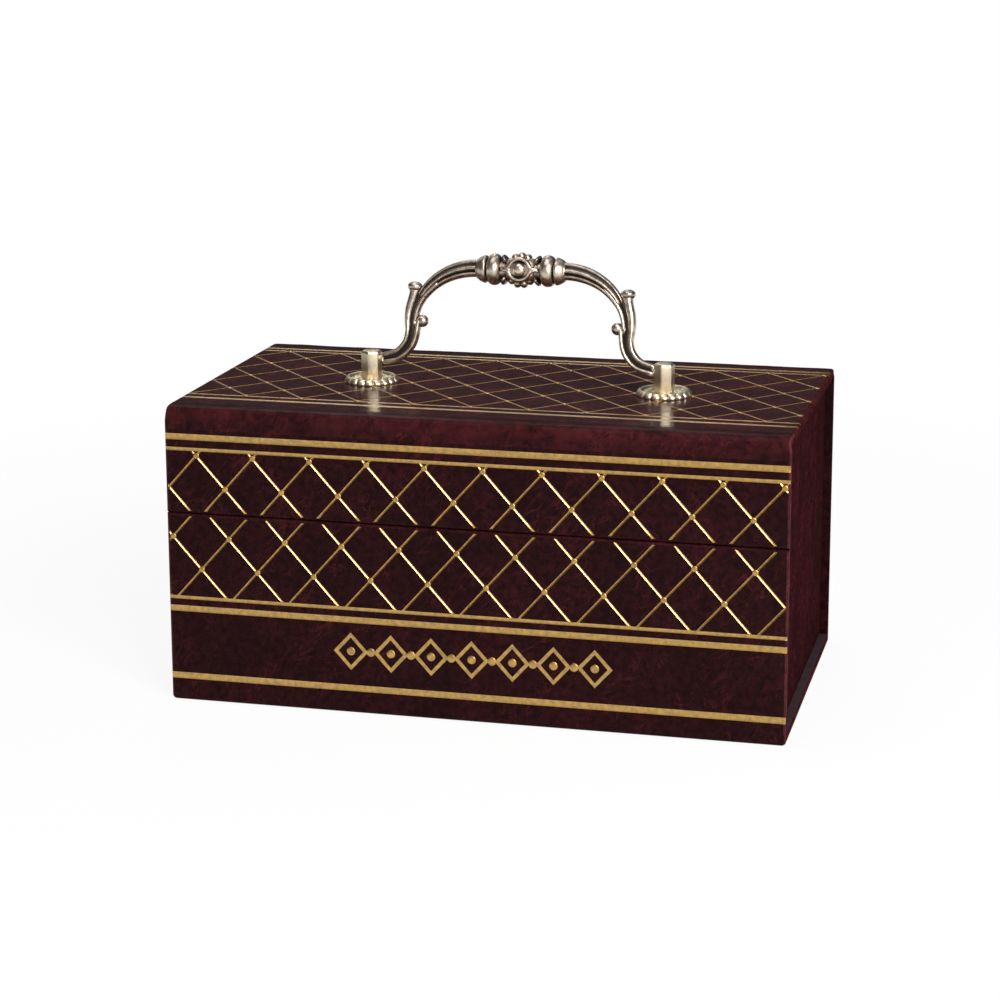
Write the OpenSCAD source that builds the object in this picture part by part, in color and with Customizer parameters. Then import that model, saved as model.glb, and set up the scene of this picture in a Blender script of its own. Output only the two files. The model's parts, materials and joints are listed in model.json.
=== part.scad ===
// Book-style box for an etrog: a card tray in a leatherette cover, with a hinged lid,
// a hinged front flap and a cast bail handle. Origin at the middle of the underside,
// X along the width, front towards -Y, Z up. Millimetres.

/* [Box] */
// Width of the cover over its two ends
box_w = 188; // [170:1:230]
// Depth of the closed box, front to back
box_d = 103.5; // [95:0.5:125]
// Height of the closed box without its handle
box_h = 91.5; // [84:0.5:115]

/* [Cover] */
// Thickness of the leatherette
skin_t = 0.6; // [0.4:0.1:0.9]
// Thickness of the base board
base_board_t = 2.9; // [2:0.1:4]
// Thickness of the lid board
lid_board_t = 2; // [1.6:0.1:3]
// Thickness of the lower front board
front_board_t = 2.4; // [2:0.1:3.5]
// Thickness of the back board
back_board_t = 2.4; // [1.6:0.1:3]
// Height of the seam between the lower front panel and the flap
seam_z = 58.9; // [50:0.1:68]
// Open width of that seam
seam_gap = 0.3; // [0.2:0.05:0.8]
// Outer radius of the fold between lid and flap
front_fold_r = 4.8; // [3.6:0.1:6]
// Outer radius of the fold between back and lid
back_fold_r = 3; // [2.6:0.1:4]
// Thickness of the doubled leatherette in a fold
fold_t = 1; // [0.8:0.1:1.4]
// Rounding of the base along its front and back edges
base_edge_r = 2.4; // [1.5:0.1:3]
// Rounding of the wrapped board edges
wrap_edge_r = 0.9; // [0.5:0.1:1.2]

/* [Tray] */
// How far the tray sits in from the ends of the cover
tray_inset = 2.6; // [1.5:0.1:5]
// Thickness of the tray's walls
wall_t = 2.5; // [2:0.1:4]
// Thickness of the tray's floor
tray_floor_t = 2; // [1.5:0.1:4]
// Thickness of the leatherette on the tray's ends
side_skin_t = 0.4; // [0.3:0.1:0.8]
// Thickness of the satin lining
lining_t = 0.4; // [0.2:0.1:0.8]
// Clearance between the tray and what closes over it
lid_gap = 0.3; // [0.2:0.05:0.6]

/* [Padding] */
// Height of the etrog bed
bed_h = 44; // [40:1:48]
// Clearance round the bed
bed_gap = 0.3; // [0.2:0.05:0.8]
// Length of the hollow in the bed
hollow_l = 128; // [100:1:140]
// Radius of the hollow in the bed
hollow_r = 35; // [28:0.5:38]
// Thickness of the lid pad
pad_t = 6; // [5:0.5:9]
// Margin between the lid pad and the tray's lining
pad_margin = 4; // [3:0.5:10]
// Rounding of the lid pad's corners
pad_corner_r = 5; // [3:0.5:10]

/* [Magnets] */
// Diameter of a magnet and of its keeper
magnet_d = 12; // [8:0.5:15]
// Thickness of a magnet
magnet_t = 1; // [0.8:0.1:1.2]
// Thickness of a steel keeper
keeper_t = 0.8; // [0.5:0.1:1.2]
// Distance between the two magnets
magnet_spacing = 120; // [80:1:140]
// Height of the magnets above the seam
magnet_rise = 12; // [9:0.5:16]
// Clearance round a disc in its pocket
disc_clear = 0.1; // [0.05:0.05:0.3]

/* [Handle] */
// Distance between the two posts
post_spacing = 92.4; // [86:0.2:110]
// Handle's place across the lid, from its middle
handle_x = 2.2; // [-6:0.1:6]
// Handle's place along the depth, from its middle
handle_y = -2; // [-6:0.5:6]
// Diameter of a rosette over its lobes
rosette_d = 17.2; // [14:0.2:20]
// Thickness of a rosette at its rim
rosette_t = 2.3; // [1.8:0.1:3]
// Lobes round a rosette
rosette_lobes = 18; // [12:1:24]
// Radius of a rosette's lobe
lobe_r = 1.25; // [1:0.05:1.6]
// Depth of the dish in a rosette's top
dish_depth = 0.7; // [0.4:0.1:1.2]
// Width of a post across its flats
post_flats = 6.2; // [5.6:0.1:8]
// Height of a post above the lid
post_top = 9.9; // [9.4:0.1:12]
// Chamfer round the top of a post
post_chamfer = 0.6; // [0.3:0.1:1]
// Height of the bail's pivot above the lid
pivot_h = 7.1; // [6.8:0.1:8]
// Diameter of the bail's pins
pin_d = 2.6; // [2:0.1:3]
// Length of a pin inside its post
pin_l = 2.2; // [1.5:0.1:2.6]
// Radial clearance of a pin in its post
pin_clear = 0.05; // [0.02:0.01:0.1]
// Gap between the bail's foot and the post
foot_gap = 0.3; // [0.2:0.05:0.6]
// Lean of the bail at rest, towards the back
bail_lean = 12; // [0:1:20]

/* [Bail] */
// Distance from a post's axis in to the upright leg
leg_inset = 12; // [11.6:0.1:14]
// Bend radius at the foot of a leg
leg_bend_r = 8; // [6.5:0.1:8.2]
// Radius of each of a leg's two ribs
leg_rib_r = 1.5; // [1.4:0.05:2]
// Half the distance between a leg's two ribs
leg_rib_step = 0.55; // [0.3:0.05:0.8]
// Height of a leg's knob above the pivot
knob_h = 23.4; // [20:0.1:26]
// Radius of that knob
knob_r = 2.3; // [2:0.05:2.8]
// Height of the small bud above the pivot
bud_h = 12.3; // [10:0.1:15]
// Radius of that bud
bud_r = 1.7; // [1.3:0.05:2.2]
// Distance of the bud in from the leg
bud_inset = 2.8; // [2:0.1:3.6]
// Height of the grip's axis above the pivot
grip_h = 29.2; // [27:0.1:34]
// Radius of the arch between leg and grip
arch_r = 19.5; // [17:0.1:21]
// Step from the leg in to the foot of the arch
arch_step = 0.9; // [0.5:0.1:1.6]
// Radius of each of the arch's two ribs
arch_rib_r = 1.8; // [1.5:0.05:2.2]
// Half the distance between the arch's two ribs
arch_rib_step = 0.8; // [0.4:0.05:1.1]
// Radius of the grip's core
core_r = 3; // [2.6:0.1:3.6]
// Radius of a collar at its wide end
collar_r = 4.3; // [3.8:0.1:5]
// Radius of a collar at its narrow end
collar_small_r = 2.7; // [2.2:0.1:3.4]
// Length of a collar
collar_l = 3; // [2.4:0.1:3.6]
// Outer radius of a bead
bead_r = 4.9; // [4.4:0.1:5.6]
// Length of a bead
bead_l = 3.8; // [3.2:0.1:4.4]
// Radius of the medallion between the beads
medal_r = 4.3; // [3.8:0.1:4.8]
// Half the thickness of the medallion
medal_half_t = 3.2; // [2.8:0.1:4]
// Petals round the medallion
petals = 12; // [8:1:16]
// Radius of a petal
petal_r = 1.2; // [0.9:0.05:1.5]
// Radius of the round step on the medallion's face
ring_r = 3.5; // [2.8:0.1:3.7]
// Height of that step
ring_rise = 0.6; // [0.3:0.1:1]
// Radius of the ball on the step
ball_r = 1.9; // [1.4:0.05:2.2]

/* [Screws] */
// Diameter of a handle screw
screw_d = 2.9; // [2.5:0.1:3.1]
// Length of a screw inside its post
screw_reach = 2.8; // [2:0.1:3]
// Clearance round a screw
screw_clear = 0.15; // [0.1:0.05:0.3]
// Clearance round a screw's thread in its post
thread_clear = 0.05; // [0.02:0.01:0.1]
// Diameter of a screw's head
head_d = 5.6; // [5:0.1:6.5]
// Height of a screw's head
head_h = 1.8; // [1.4:0.1:2.2]
// Diameter of a washer
washer_d = 9; // [8:0.1:11]
// Thickness of a washer
washer_t = 0.6; // [0.4:0.1:1]
// Clearance round a washer and head in the lining and pad
head_clear = 0.5; // [0.3:0.1:1]

/* [Hidden] */
$fn = 64;
// Overlap of a cutting shape past the face that it cuts
cut = 1;

// Cover
front_y = -box_d / 2;
back_y = box_d / 2;
base_t = skin_t + base_board_t;
panel_top = seam_z - seam_gap / 2;
flap_bottom = seam_z + seam_gap / 2;
flap_top = box_h - front_fold_r;
back_top = box_h - back_fold_r;
lid_front = front_y + front_fold_r;
lid_back = back_y - back_fold_r;
lid_board_z = box_h - skin_t - lid_board_t;
lid_under = lid_board_z - lining_t;
flap_board_t = front_board_t - lining_t - lid_gap;
board_w = box_w - 2 * skin_t;

// Tray
tray_front = front_y + skin_t + front_board_t;
tray_back = back_y - skin_t - back_board_t;
tray_half_w = box_w / 2 - tray_inset;
wall_outer = tray_half_w - side_skin_t;
wall_inner = wall_outer - wall_t;
wall_top = lid_under - lid_gap;
floor_top = base_t + tray_floor_t;
inner_front = tray_front + wall_t;
inner_back = tray_back - wall_t;
lined_half_w = wall_inner - lining_t;
lined_front = inner_front + lining_t;
lined_back = inner_back - lining_t;
bed_top = floor_top + bed_h;
bed_mid_y = (lined_front + lined_back) / 2;
magnet_z = seam_z + magnet_rise;

// Handle
post_corner_r = post_flats / 2 / cos(30);
post_h = post_top - rosette_t;
pivot_z = box_h + pivot_h;
leg_x = post_spacing / 2 - leg_inset;
foot_x = post_spacing / 2 - post_flats / 2 - foot_gap;
arch_foot_x = leg_x - arch_step;
grip_end = arch_foot_x - arch_r;
arch_mid_z = grip_h - arch_r;
bead_mid_x = grip_end - collar_l - bead_l / 2;
lobe_mid_r = rosette_d / 2 - lobe_r;
head_z = lid_board_z - washer_t - head_h;
screw_top = box_h + rosette_t + screw_reach;

// Colours
leatherette = [0.20, 0.035, 0.045];
greyboard = [0.55, 0.53, 0.50];
satin = [0.86, 0.80, 0.66];
bright_brass = [0.80, 0.72, 0.50];
antique_brass = [0.45, 0.37, 0.25];
steel = [0.65, 0.66, 0.68];

// A block between two corners
module block(low, high) {
    translate(low) cube(high - low);
}

// A profile in Y and Z drawn out along X
module along_x(length) {
    rotate([90, 0, 90]) linear_extrude(length, center = true) children();
}

// A rectangle whose lower two corners are round
module sled(low, high, r) {
    size = high - low;
    translate(low) intersection() {
        square(size);
        union() {
            translate([0, r]) square(size);
            translate([r, 0]) square([size.x - 2 * r, size.y]);
            for (x = [r, size.x - r]) translate([x, r]) circle(r);
        }
    }
}

// A block whose four upright edges are round
module round_block(low, high, r) {
    size = high - low;
    translate(low) linear_extrude(size.z) {
        translate([r, 0]) square([size.x - 2 * r, size.y]);
        translate([0, r]) square([size.x, size.y - 2 * r]);
        for (x = [r, size.x - r], y = [r, size.y - r]) translate([x, y]) circle(r);
    }
}

// An upright panel across the box, round along the two ends of its outer face
module wrap(outer_y, inner_y, low_z, high_z) {
    translate([0, 0, low_z]) linear_extrude(high_z - low_z)
        sled([-box_w / 2, outer_y], [box_w / 2, inner_y], wrap_edge_r);
}

// Puts a copy of the children at each of the two posts
module at_posts() {
    for (side = [-1, 1]) at_post(side) children();
}

// Puts the children on the lid under one post
module at_post(side) {
    translate([handle_x + side * post_spacing / 2, handle_y, 0]) children();
}

// Puts a copy of the children at each magnet, facing along Y
module at_magnets(y) {
    for (side = [-1, 1])
        translate([side * magnet_spacing / 2, y, magnet_z]) rotate([-90, 0, 0]) children();
}

// Cover round the base

module base_board() {
    color(greyboard) along_x(board_w)
        sled([front_y + skin_t, skin_t], [back_y - skin_t, base_t], base_edge_r - skin_t);
}

module base_cover() {
    color(leatherette) difference() {
        along_x(box_w) sled([front_y, 0], [back_y, base_t], base_edge_r);
        along_x(board_w)
            sled([front_y + skin_t, skin_t], [back_y - skin_t, base_t + cut], base_edge_r - skin_t);
    }
}

module front_board() {
    color(greyboard)
        block([-board_w / 2, front_y + skin_t, base_t], [board_w / 2, tray_front, panel_top - skin_t]);
}

// The lower panel's leatherette: its face, its top edge and its two ends
module front_panel_cover() {
    color(leatherette) difference() {
        wrap(front_y, tray_front, base_t, panel_top);
        block([-board_w / 2, front_y + skin_t, base_t - cut],
            [board_w / 2, tray_front + cut, panel_top - skin_t]);
    }
}

module back_board() {
    color(greyboard)
        block([-board_w / 2, tray_back, base_t], [board_w / 2, back_y - skin_t, back_top]);
}

module back_cover() {
    color(leatherette) difference() {
        mirror([0, 1, 0]) wrap(-back_y, -tray_back, base_t, back_top);
        block([-board_w / 2, tray_back - cut, base_t - cut],
            [board_w / 2, back_y - skin_t, back_top + cut]);
    }
}

// Tray

module tray_floor() {
    color(greyboard) block([-wall_inner, inner_front, base_t], [wall_inner, inner_back, floor_top]);
}

module tray_side_wall(side) {
    color(greyboard) to_side(side)
        block([wall_inner, tray_front, base_t], [wall_outer, tray_back, wall_top]);
}

module tray_side_skin(side) {
    color(leatherette) to_side(side)
        block([wall_outer, tray_front, base_t], [tray_half_w, tray_back, wall_top]);
}

// Mirrors a right-hand piece to the left for side -1
module to_side(side) {
    if (side < 0) mirror([1, 0, 0]) children();
    else children();
}

module tray_left_wall() { tray_side_wall(-1); }

module tray_right_wall() { tray_side_wall(1); }

module tray_left_skin() { tray_side_skin(-1); }

module tray_right_skin() { tray_side_skin(1); }

module tray_front_wall() {
    color(greyboard) difference() {
        block([-wall_inner, tray_front, base_t], [wall_inner, inner_front, wall_top]);
        at_magnets(tray_front - cut) cylinder(d = magnet_d + 2 * disc_clear, h = keeper_t + cut);
    }
}

module tray_back_wall() {
    color(greyboard) block([-wall_inner, inner_back, base_t], [wall_inner, tray_back, wall_top]);
}

module tray_lining() {
    color(satin) difference() {
        block([-wall_inner, inner_front, floor_top], [wall_inner, inner_back, wall_top]);
        block([-lined_half_w, lined_front, floor_top - cut], [lined_half_w, lined_back, wall_top + cut]);
    }
}

// Foam bed with a long round-ended hollow
module etrog_bed() {
    half_run = hollow_l / 2 - hollow_r;
    color(satin) difference() {
        block([-lined_half_w + bed_gap, lined_front + bed_gap, floor_top],
            [lined_half_w - bed_gap, lined_back - bed_gap, bed_top]);
        translate([0, bed_mid_y, bed_top]) {
            rotate([0, 90, 0]) cylinder(r = hollow_r, h = 2 * half_run, center = true);
            for (side = [-1, 1]) translate([side * half_run, 0, 0]) sphere(hollow_r);
        }
    }
}

module keeper_discs() {
    color(steel) at_magnets(tray_front) cylinder(d = magnet_d, h = keeper_t);
}

// Lid

module lid_board() {
    color(greyboard) difference() {
        block([-board_w / 2, lid_front, lid_board_z], [board_w / 2, lid_back, box_h - skin_t]);
        at_posts() screw_hole();
    }
}

// The lid's leatherette: its top and its two ends, round along the ends
module lid_cover() {
    color(leatherette) difference() {
        translate([0, (lid_front + lid_back) / 2, 0]) rotate([0, 0, 90]) along_x(lid_back - lid_front)
            translate([0, box_h]) mirror([0, 1])
                sled([-box_w / 2, 0], [box_w / 2, skin_t + lid_board_t], wrap_edge_r);
        block([-board_w / 2, lid_front - cut, lid_board_z - cut],
            [board_w / 2, lid_back + cut, box_h - skin_t]);
        at_posts() screw_hole();
    }
}

// Room for a handle screw through the whole lid
module screw_hole() {
    translate([0, 0, head_z]) cylinder(d = screw_d + 2 * screw_clear, h = screw_top - head_z);
}

module lid_lining() {
    color(satin) difference() {
        block([-board_w / 2, lid_front, lid_under], [board_w / 2, lid_back, lid_board_z]);
        at_posts() head_room();
    }
}

// Room for a washer and a screw head under the lid board
module head_room() {
    depth = washer_t + head_h + head_clear;
    translate([0, 0, lid_board_z - depth]) cylinder(d = washer_d + 2 * head_clear, h = depth + cut);
}

module lid_pad() {
    color(satin) difference() {
        round_block([-lined_half_w + pad_margin, lined_front + pad_margin, lid_under - pad_t],
            [lined_half_w - pad_margin, lined_back - pad_margin, lid_under], pad_corner_r);
        at_posts() head_room();
    }
}

// A quarter-round strip of leatherette along X, round the point y, z
module fold_strip(y, z, r, side) {
    color(leatherette) along_x(box_w) translate([y, z]) intersection() {
        difference() {
            circle(r);
            circle(r - fold_t);
        }
        translate([side < 0 ? -r : 0, 0]) square(r);
    }
}

module lid_hinge_fold() {
    fold_strip(lid_back, back_top, back_fold_r, 1);
}

module flap_hinge_fold() {
    fold_strip(lid_front, flap_top, front_fold_r, -1);
}

// Flap

module flap_board() {
    color(greyboard) difference() {
        block([-board_w / 2, front_y + skin_t, flap_bottom + skin_t],
            [board_w / 2, front_y + skin_t + flap_board_t, flap_top]);
        at_magnets(front_y + skin_t + flap_board_t - magnet_t)
            cylinder(d = magnet_d + 2 * disc_clear, h = magnet_t + cut);
    }
}

module flap_cover() {
    color(leatherette) difference() {
        wrap(front_y, front_y + skin_t + flap_board_t, flap_bottom, flap_top);
        block([-board_w / 2, front_y + skin_t, flap_bottom + skin_t],
            [board_w / 2, tray_front, flap_top + cut]);
    }
}

module flap_lining() {
    color(satin) block([-board_w / 2, tray_front - lid_gap - lining_t, flap_bottom + skin_t],
        [board_w / 2, tray_front - lid_gap, flap_top]);
}

module flap_magnets() {
    color(steel) at_magnets(front_y + skin_t + flap_board_t - magnet_t) cylinder(d = magnet_d, h = magnet_t);
}

// Handle

module rosette(side) {
    color(bright_brass) at_post(side) translate([0, 0, box_h]) difference() {
        linear_extrude(rosette_t) {
            circle(lobe_mid_r);
            for (i = [0 : rosette_lobes - 1])
                rotate(i * 360 / rosette_lobes) translate([lobe_mid_r, 0]) circle(lobe_r);
        }
        // Dish between the rim and the foot of the post
        rotate_extrude() polygon([
            [post_corner_r + dish_depth / 2, rosette_t],
            [lobe_mid_r - dish_depth / 2, rosette_t],
            [lobe_mid_r - dish_depth, rosette_t - dish_depth],
            [post_corner_r + dish_depth, rosette_t - dish_depth]
        ]);
        translate([0, 0, -cut])
            cylinder(d = screw_d + 2 * screw_clear, h = rosette_t + 2 * cut);
    }
}

module left_rosette() { rosette(-1); }

module right_rosette() { rosette(1); }

// Six-sided post with a flat, and the bore of the bail's pin, towards the middle
module post(side) {
    top_r = post_flats / 2 - post_chamfer;
    wide_r = post_corner_r + cut;
    color(bright_brass) at_post(side) to_side(side) translate([0, 0, box_h + rosette_t]) difference() {
        intersection() {
            rotate(30) cylinder(r = post_corner_r, h = post_h, $fn = 6);
            rotate_extrude() polygon([
                [0, 0], [wide_r, 0], [wide_r, post_h - (wide_r - top_r)], [top_r, post_h], [0, post_h]
            ]);
        }
        translate([0, 0, -cut]) cylinder(d = screw_d + 2 * thread_clear, h = screw_reach + pin_clear + cut);
        translate([-post_flats / 2 - cut, 0, pivot_h - rosette_t]) rotate([0, 90, 0])
            cylinder(r = pin_d / 2 + pin_clear, h = cut + pin_l + foot_gap);
    }
}

module left_post() { post(-1); }

module right_post() { post(1); }

module handle_screws() {
    color(steel) at_posts() {
        translate([0, 0, head_z]) cylinder(d = head_d, h = head_h);
        translate([0, 0, head_z + head_h]) cylinder(d = screw_d, h = screw_top - head_z - head_h);
    }
}

module screw_washers() {
    color(steel) at_posts() translate([0, 0, lid_board_z - washer_t]) difference() {
        cylinder(d = washer_d, h = washer_t);
        translate([0, 0, -cut]) cylinder(d = screw_d + 2 * screw_clear, h = washer_t + 2 * cut);
    }
}

// Two ribs side by side, the section of the bail's arms
module ribs(rib_r, step) {
    for (side = [-1, 1]) translate([side * step, 0]) circle(rib_r);
}

// A quarter bend in X and Z round its own centre, from the given angle
module bend(r, start, rib_r, step) {
    rotate([90, 0, 0]) rotate(start) rotate_extrude(angle = 90) translate([r, 0]) ribs(rib_r, step);
}

// One arm of the bail: pin, foot, leg with its knob and bud, and the arch up to the grip
module bail_arm() {
    bend_x = leg_x + leg_bend_r;
    translate([foot_x, 0, 0]) rotate([0, 90, 0]) cylinder(d = pin_d, h = foot_gap + pin_l);
    translate([bend_x, 0, 0]) rotate([0, 90, 0])
        linear_extrude(foot_x - bend_x) ribs(leg_rib_r, leg_rib_step);
    translate([bend_x, 0, leg_bend_r]) bend(leg_bend_r, 180, leg_rib_r, leg_rib_step);
    translate([leg_x, 0, leg_bend_r]) linear_extrude(knob_h - leg_bend_r) ribs(leg_rib_r, leg_rib_step);
    translate([leg_x, 0, knob_h]) sphere(knob_r);
    translate([leg_x - bud_inset, 0, bud_h]) sphere(bud_r);
    translate([grip_end, 0, arch_mid_z]) bend(arch_r, 0, arch_rib_r, arch_rib_step);
    translate([grip_end - collar_l, 0, grip_h]) rotate([0, 90, 0])
        cylinder(r1 = collar_r, r2 = collar_small_r, h = collar_l);
    translate([bead_mid_x, 0, grip_h]) rotate([0, 90, 0]) rotate_extrude()
        translate([bead_r - bead_l / 2, 0]) circle(bead_l / 2);
}

// The round ornament in the middle of the grip, alike on both faces
module medallion() {
    rotate([90, 0, 0]) {
        linear_extrude(2 * medal_half_t, center = true) {
            circle(medal_r);
            for (i = [0 : petals - 1]) rotate((i + 0.5) * 360 / petals)
                translate([medal_r, 0]) circle(petal_r);
        }
        cylinder(r = ring_r, h = 2 * (medal_half_t + ring_rise), center = true);
        for (face = [-1, 1]) translate([0, 0, face * (medal_half_t + ring_rise)]) sphere(ball_r);
    }
}

module handle_bail() {
    color(antique_brass) translate([handle_x, handle_y, pivot_z]) rotate([-bail_lean, 0, 0]) {
        bail_arm();
        mirror([1, 0, 0]) bail_arm();
        translate([0, 0, grip_h]) {
            rotate([0, 90, 0]) cylinder(r = core_r, h = 2 * (grip_end - collar_l / 2), center = true);
            medallion();
        }
    }
}

base_board();
base_cover();
front_board();
front_panel_cover();
back_board();
back_cover();
tray_floor();
tray_left_wall();
tray_right_wall();
tray_front_wall();
tray_back_wall();
tray_left_skin();
tray_right_skin();
tray_lining();
etrog_bed();
keeper_discs();
lid_board();
lid_cover();
lid_lining();
lid_pad();
lid_hinge_fold();
left_rosette();
right_rosette();
left_post();
right_post();
handle_screws();
screw_washers();
flap_board();
flap_cover();
flap_lining();
flap_magnets();
flap_hinge_fold();
handle_bail();
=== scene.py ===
"""Dresses the packed etrog box: tooled leather panels, gold foil, a brass handle and satin inside."""

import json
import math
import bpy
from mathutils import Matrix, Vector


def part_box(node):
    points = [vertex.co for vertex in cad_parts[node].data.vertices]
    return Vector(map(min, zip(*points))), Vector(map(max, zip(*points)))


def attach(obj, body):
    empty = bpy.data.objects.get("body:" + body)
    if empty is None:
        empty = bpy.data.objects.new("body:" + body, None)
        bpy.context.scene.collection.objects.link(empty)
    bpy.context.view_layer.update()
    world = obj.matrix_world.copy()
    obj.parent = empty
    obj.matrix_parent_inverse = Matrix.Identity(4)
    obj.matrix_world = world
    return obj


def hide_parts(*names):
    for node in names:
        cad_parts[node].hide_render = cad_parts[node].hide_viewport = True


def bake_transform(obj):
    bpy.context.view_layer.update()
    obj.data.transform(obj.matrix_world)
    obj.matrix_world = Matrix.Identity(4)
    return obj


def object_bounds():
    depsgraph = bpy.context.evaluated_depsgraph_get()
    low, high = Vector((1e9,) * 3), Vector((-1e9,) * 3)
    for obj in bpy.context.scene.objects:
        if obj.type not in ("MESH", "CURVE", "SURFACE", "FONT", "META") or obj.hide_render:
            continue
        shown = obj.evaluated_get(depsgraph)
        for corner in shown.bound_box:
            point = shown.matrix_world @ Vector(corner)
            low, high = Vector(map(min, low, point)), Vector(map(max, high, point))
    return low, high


bl_info = {
    "name": "Etrog Box Dressing",
    "version": (1, 0, 0),
    "blender": (4, 5, 0),
    "location": "View3D > Sidebar > Etrog Box",
    "description": "Makes the leather, foil, brass and satin of an etrog box round its packed CAD frame",
    "category": "Object",
}

import bmesh
import bpy
from bpy.props import FloatProperty, FloatVectorProperty, IntProperty, PointerProperty
from mathutils import Matrix, Vector, noise

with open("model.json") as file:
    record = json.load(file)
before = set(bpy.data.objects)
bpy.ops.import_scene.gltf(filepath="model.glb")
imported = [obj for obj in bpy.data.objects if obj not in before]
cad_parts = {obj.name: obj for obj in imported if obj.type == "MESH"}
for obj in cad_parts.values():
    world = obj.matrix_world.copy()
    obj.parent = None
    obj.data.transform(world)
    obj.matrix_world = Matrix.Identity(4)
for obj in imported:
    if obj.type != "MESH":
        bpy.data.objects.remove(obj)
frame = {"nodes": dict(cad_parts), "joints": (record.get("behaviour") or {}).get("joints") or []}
CAD_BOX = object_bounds()
MM = 0.001

# Places on the box that the packed frame gives
LID_LOW, LID_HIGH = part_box("lid_cover")
FLAP_LOW, FLAP_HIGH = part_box("flap_cover")
PANEL_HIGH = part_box("front_panel_cover")[1]
BACK_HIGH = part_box("back_cover")[1]
BASE_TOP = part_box("base_board")[1].z
HALF_W = LID_HIGH.x
TOP_Z = LID_HIGH.z
FRONT_Y = FLAP_LOW.y
BACK_Y = BACK_HIGH.y
JOINTS = {joint["name"]: joint for joint in frame["joints"]}

# How a face's own u, v and outward w lie on the box
ON_FRONT = Matrix(((1, 0, 0, 0), (0, 0, -1, FRONT_Y), (0, 1, 0, 0), (0, 0, 0, 1)))
ON_TOP = Matrix.Translation((0, 0, TOP_Z))

# Distances below which points count as one, for cuts, for sheets and for closed forms
TINY = 1e-7
CLOSE = 1e-6
WELD = 2e-6

# How far leather laps past the board or the lining that it meets
LAP = 0.05 * MM
LINING_LAP = 0.02 * MM


def length(name, text, millimetres):
    """A length that a user may change, given in millimetres and kept in metres."""
    return FloatProperty(name=name, description=text, default=millimetres * MM, unit="LENGTH", precision=5)


def angle(name, text, degrees):
    """An angle that a user may change, given in degrees."""
    return FloatProperty(name=name, description=text, default=math.radians(degrees), subtype="ANGLE")


def number(name, text, value):
    """A plain number that a user may change."""
    return FloatProperty(name=name, description=text, default=value)


def whole(name, text, value, least):
    """A count that a user may change."""
    return IntProperty(name=name, description=text, default=value, min=least)


def tint(name, text, rgb):
    """A colour that a user may change, in linear light."""
    return FloatVectorProperty(name=name, description=text, default=rgb, subtype="COLOR", min=0, max=1)


class ToolingSizes(bpy.types.PropertyGroup):
    """Sizes of the gilt tooling and of the leather's edges"""

    lattice_pitch: length("Lattice pitch", "Width of one lattice diamond", 17.65)
    row_step: length("Row step", "Height from one row of dots to the next", 9.9)
    line_width: length("Line width", "Width of a lattice line's foil", 0.66)
    line_depth: length("Line depth", "How deep a lattice line is pressed in", 0.22)
    dot_radius: length("Dot radius", "Radius of the dot at each crossing", 0.95)
    dot_height: length("Dot height", "How far a dot stands up from the face", 0.22)
    edge_radius: length("Edge radius", "Rounding of the leather round a board's edge", 0.75)
    fold_lead: length("Fold lead", "Flat strip that a fold takes from each panel", 2)
    fold_thickness: length("Fold thickness", "Thickness of the leather at a fold", 0.9)
    fold_pinch: length("Fold pinch", "How far a fold's ends draw in", 0.4)
    turn_in: length("Turn-in", "Depth of the leather turned in at a fold's ends", 2.6)
    base_radius: length("Base radius", "Rounding of the box's lower long edges", 1.2)
    base_corner: length("Base corner", "Rounding of the box's lower corners", 1.3)


class OrnamentSizes(bpy.types.PropertyGroup):
    """Sizes of the row of lozenges on the lower front panel"""

    count: whole("Lozenges", "How many lozenges the row has", 7, least=1)
    step: length("Step", "Distance from one lozenge to the next", 12.4)
    width: length("Width", "Width of a lozenge", 9.2)
    height: length("Height", "Height of a lozenge", 10.2)
    stroke: length("Stroke", "Width of a lozenge's outline", 1.5)
    relief: length("Relief", "Thickness of a lozenge's outline, half of it above the face", 0.24)
    dot_radius: length("Dot radius", "Radius of the dots in and between the lozenges", 1.4)
    dot_height: length("Dot height", "How far those dots stand up from the face", 0.3)
    middle: length("Middle", "Height of the row above the floor", 19.4)


class HandleSizes(bpy.types.PropertyGroup):
    """Sizes of the cast handle"""

    lean: angle("Lean", "How far the handle leans back at rest", 12)
    arm_thickness: length("Arm thickness", "Thickness of an arm from front to back", 4.2)
    rail_thickness: length("Rail thickness", "Thickness of a leg's rails from front to back", 3.6)
    web_thickness: length("Web thickness", "Thickness of the sunk web between a leg's rails", 1.9)
    grip_rise: length("Grip rise", "Height of the grip above the pivots", 29.2)
    bud_radius: length("Bud radius", "Radius of an inner bud", 1.9)
    petals: whole("Petals", "Petals round the medallion", 13, least=3)
    rosette_lobes: whole("Lobes", "Lobes round a rosette", 18, least=3)


class FinishColours(bpy.types.PropertyGroup):
    """Colours of the materials"""

    leather_dark: tint("Leather, dark", "Ground colour of the leather", (0.0135, 0.0036, 0.0043))
    leather_red: tint("Leather, red", "Colour of its red clouds", (0.03, 0.0055, 0.007))
    # The hair colour is also mixed in on rims and folds, as a painted red highlight besides stretched
    # places
    leather_hair_and_highlight: tint("Leather, hair", "Its fine streaks and stretched places", (0.072, 0.0125, 0.0145))
    # A greyish purple, lighter than the leather, painted on the ledge round the tray as its sheen
    ledge_sheen: tint("Paper", "Glazed paper on the ledge round the tray", (0.055, 0.037, 0.042))
    foil: tint("Foil", "Gold of the tooling", (0.5, 0.27, 0.014))
    brass_high: tint("Brass, worn", "High places of the antique brass", (0.86, 0.72, 0.585))
    brass_low: tint("Brass, dark", "Recesses of the antique brass", (0.042, 0.033, 0.028))
    brass_pale: tint("Brass, pale", "Posts and rosettes", (0.78, 0.675, 0.49))
    satin: tint("Satin", "Lining and pads", (0.74, 0.68, 0.55))
    board: tint("Grey board", "Boards under the leather", (0.3, 0.285, 0.26))
    steel: tint("Steel", "Screws, washers and discs", (0.55, 0.55, 0.56))


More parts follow.
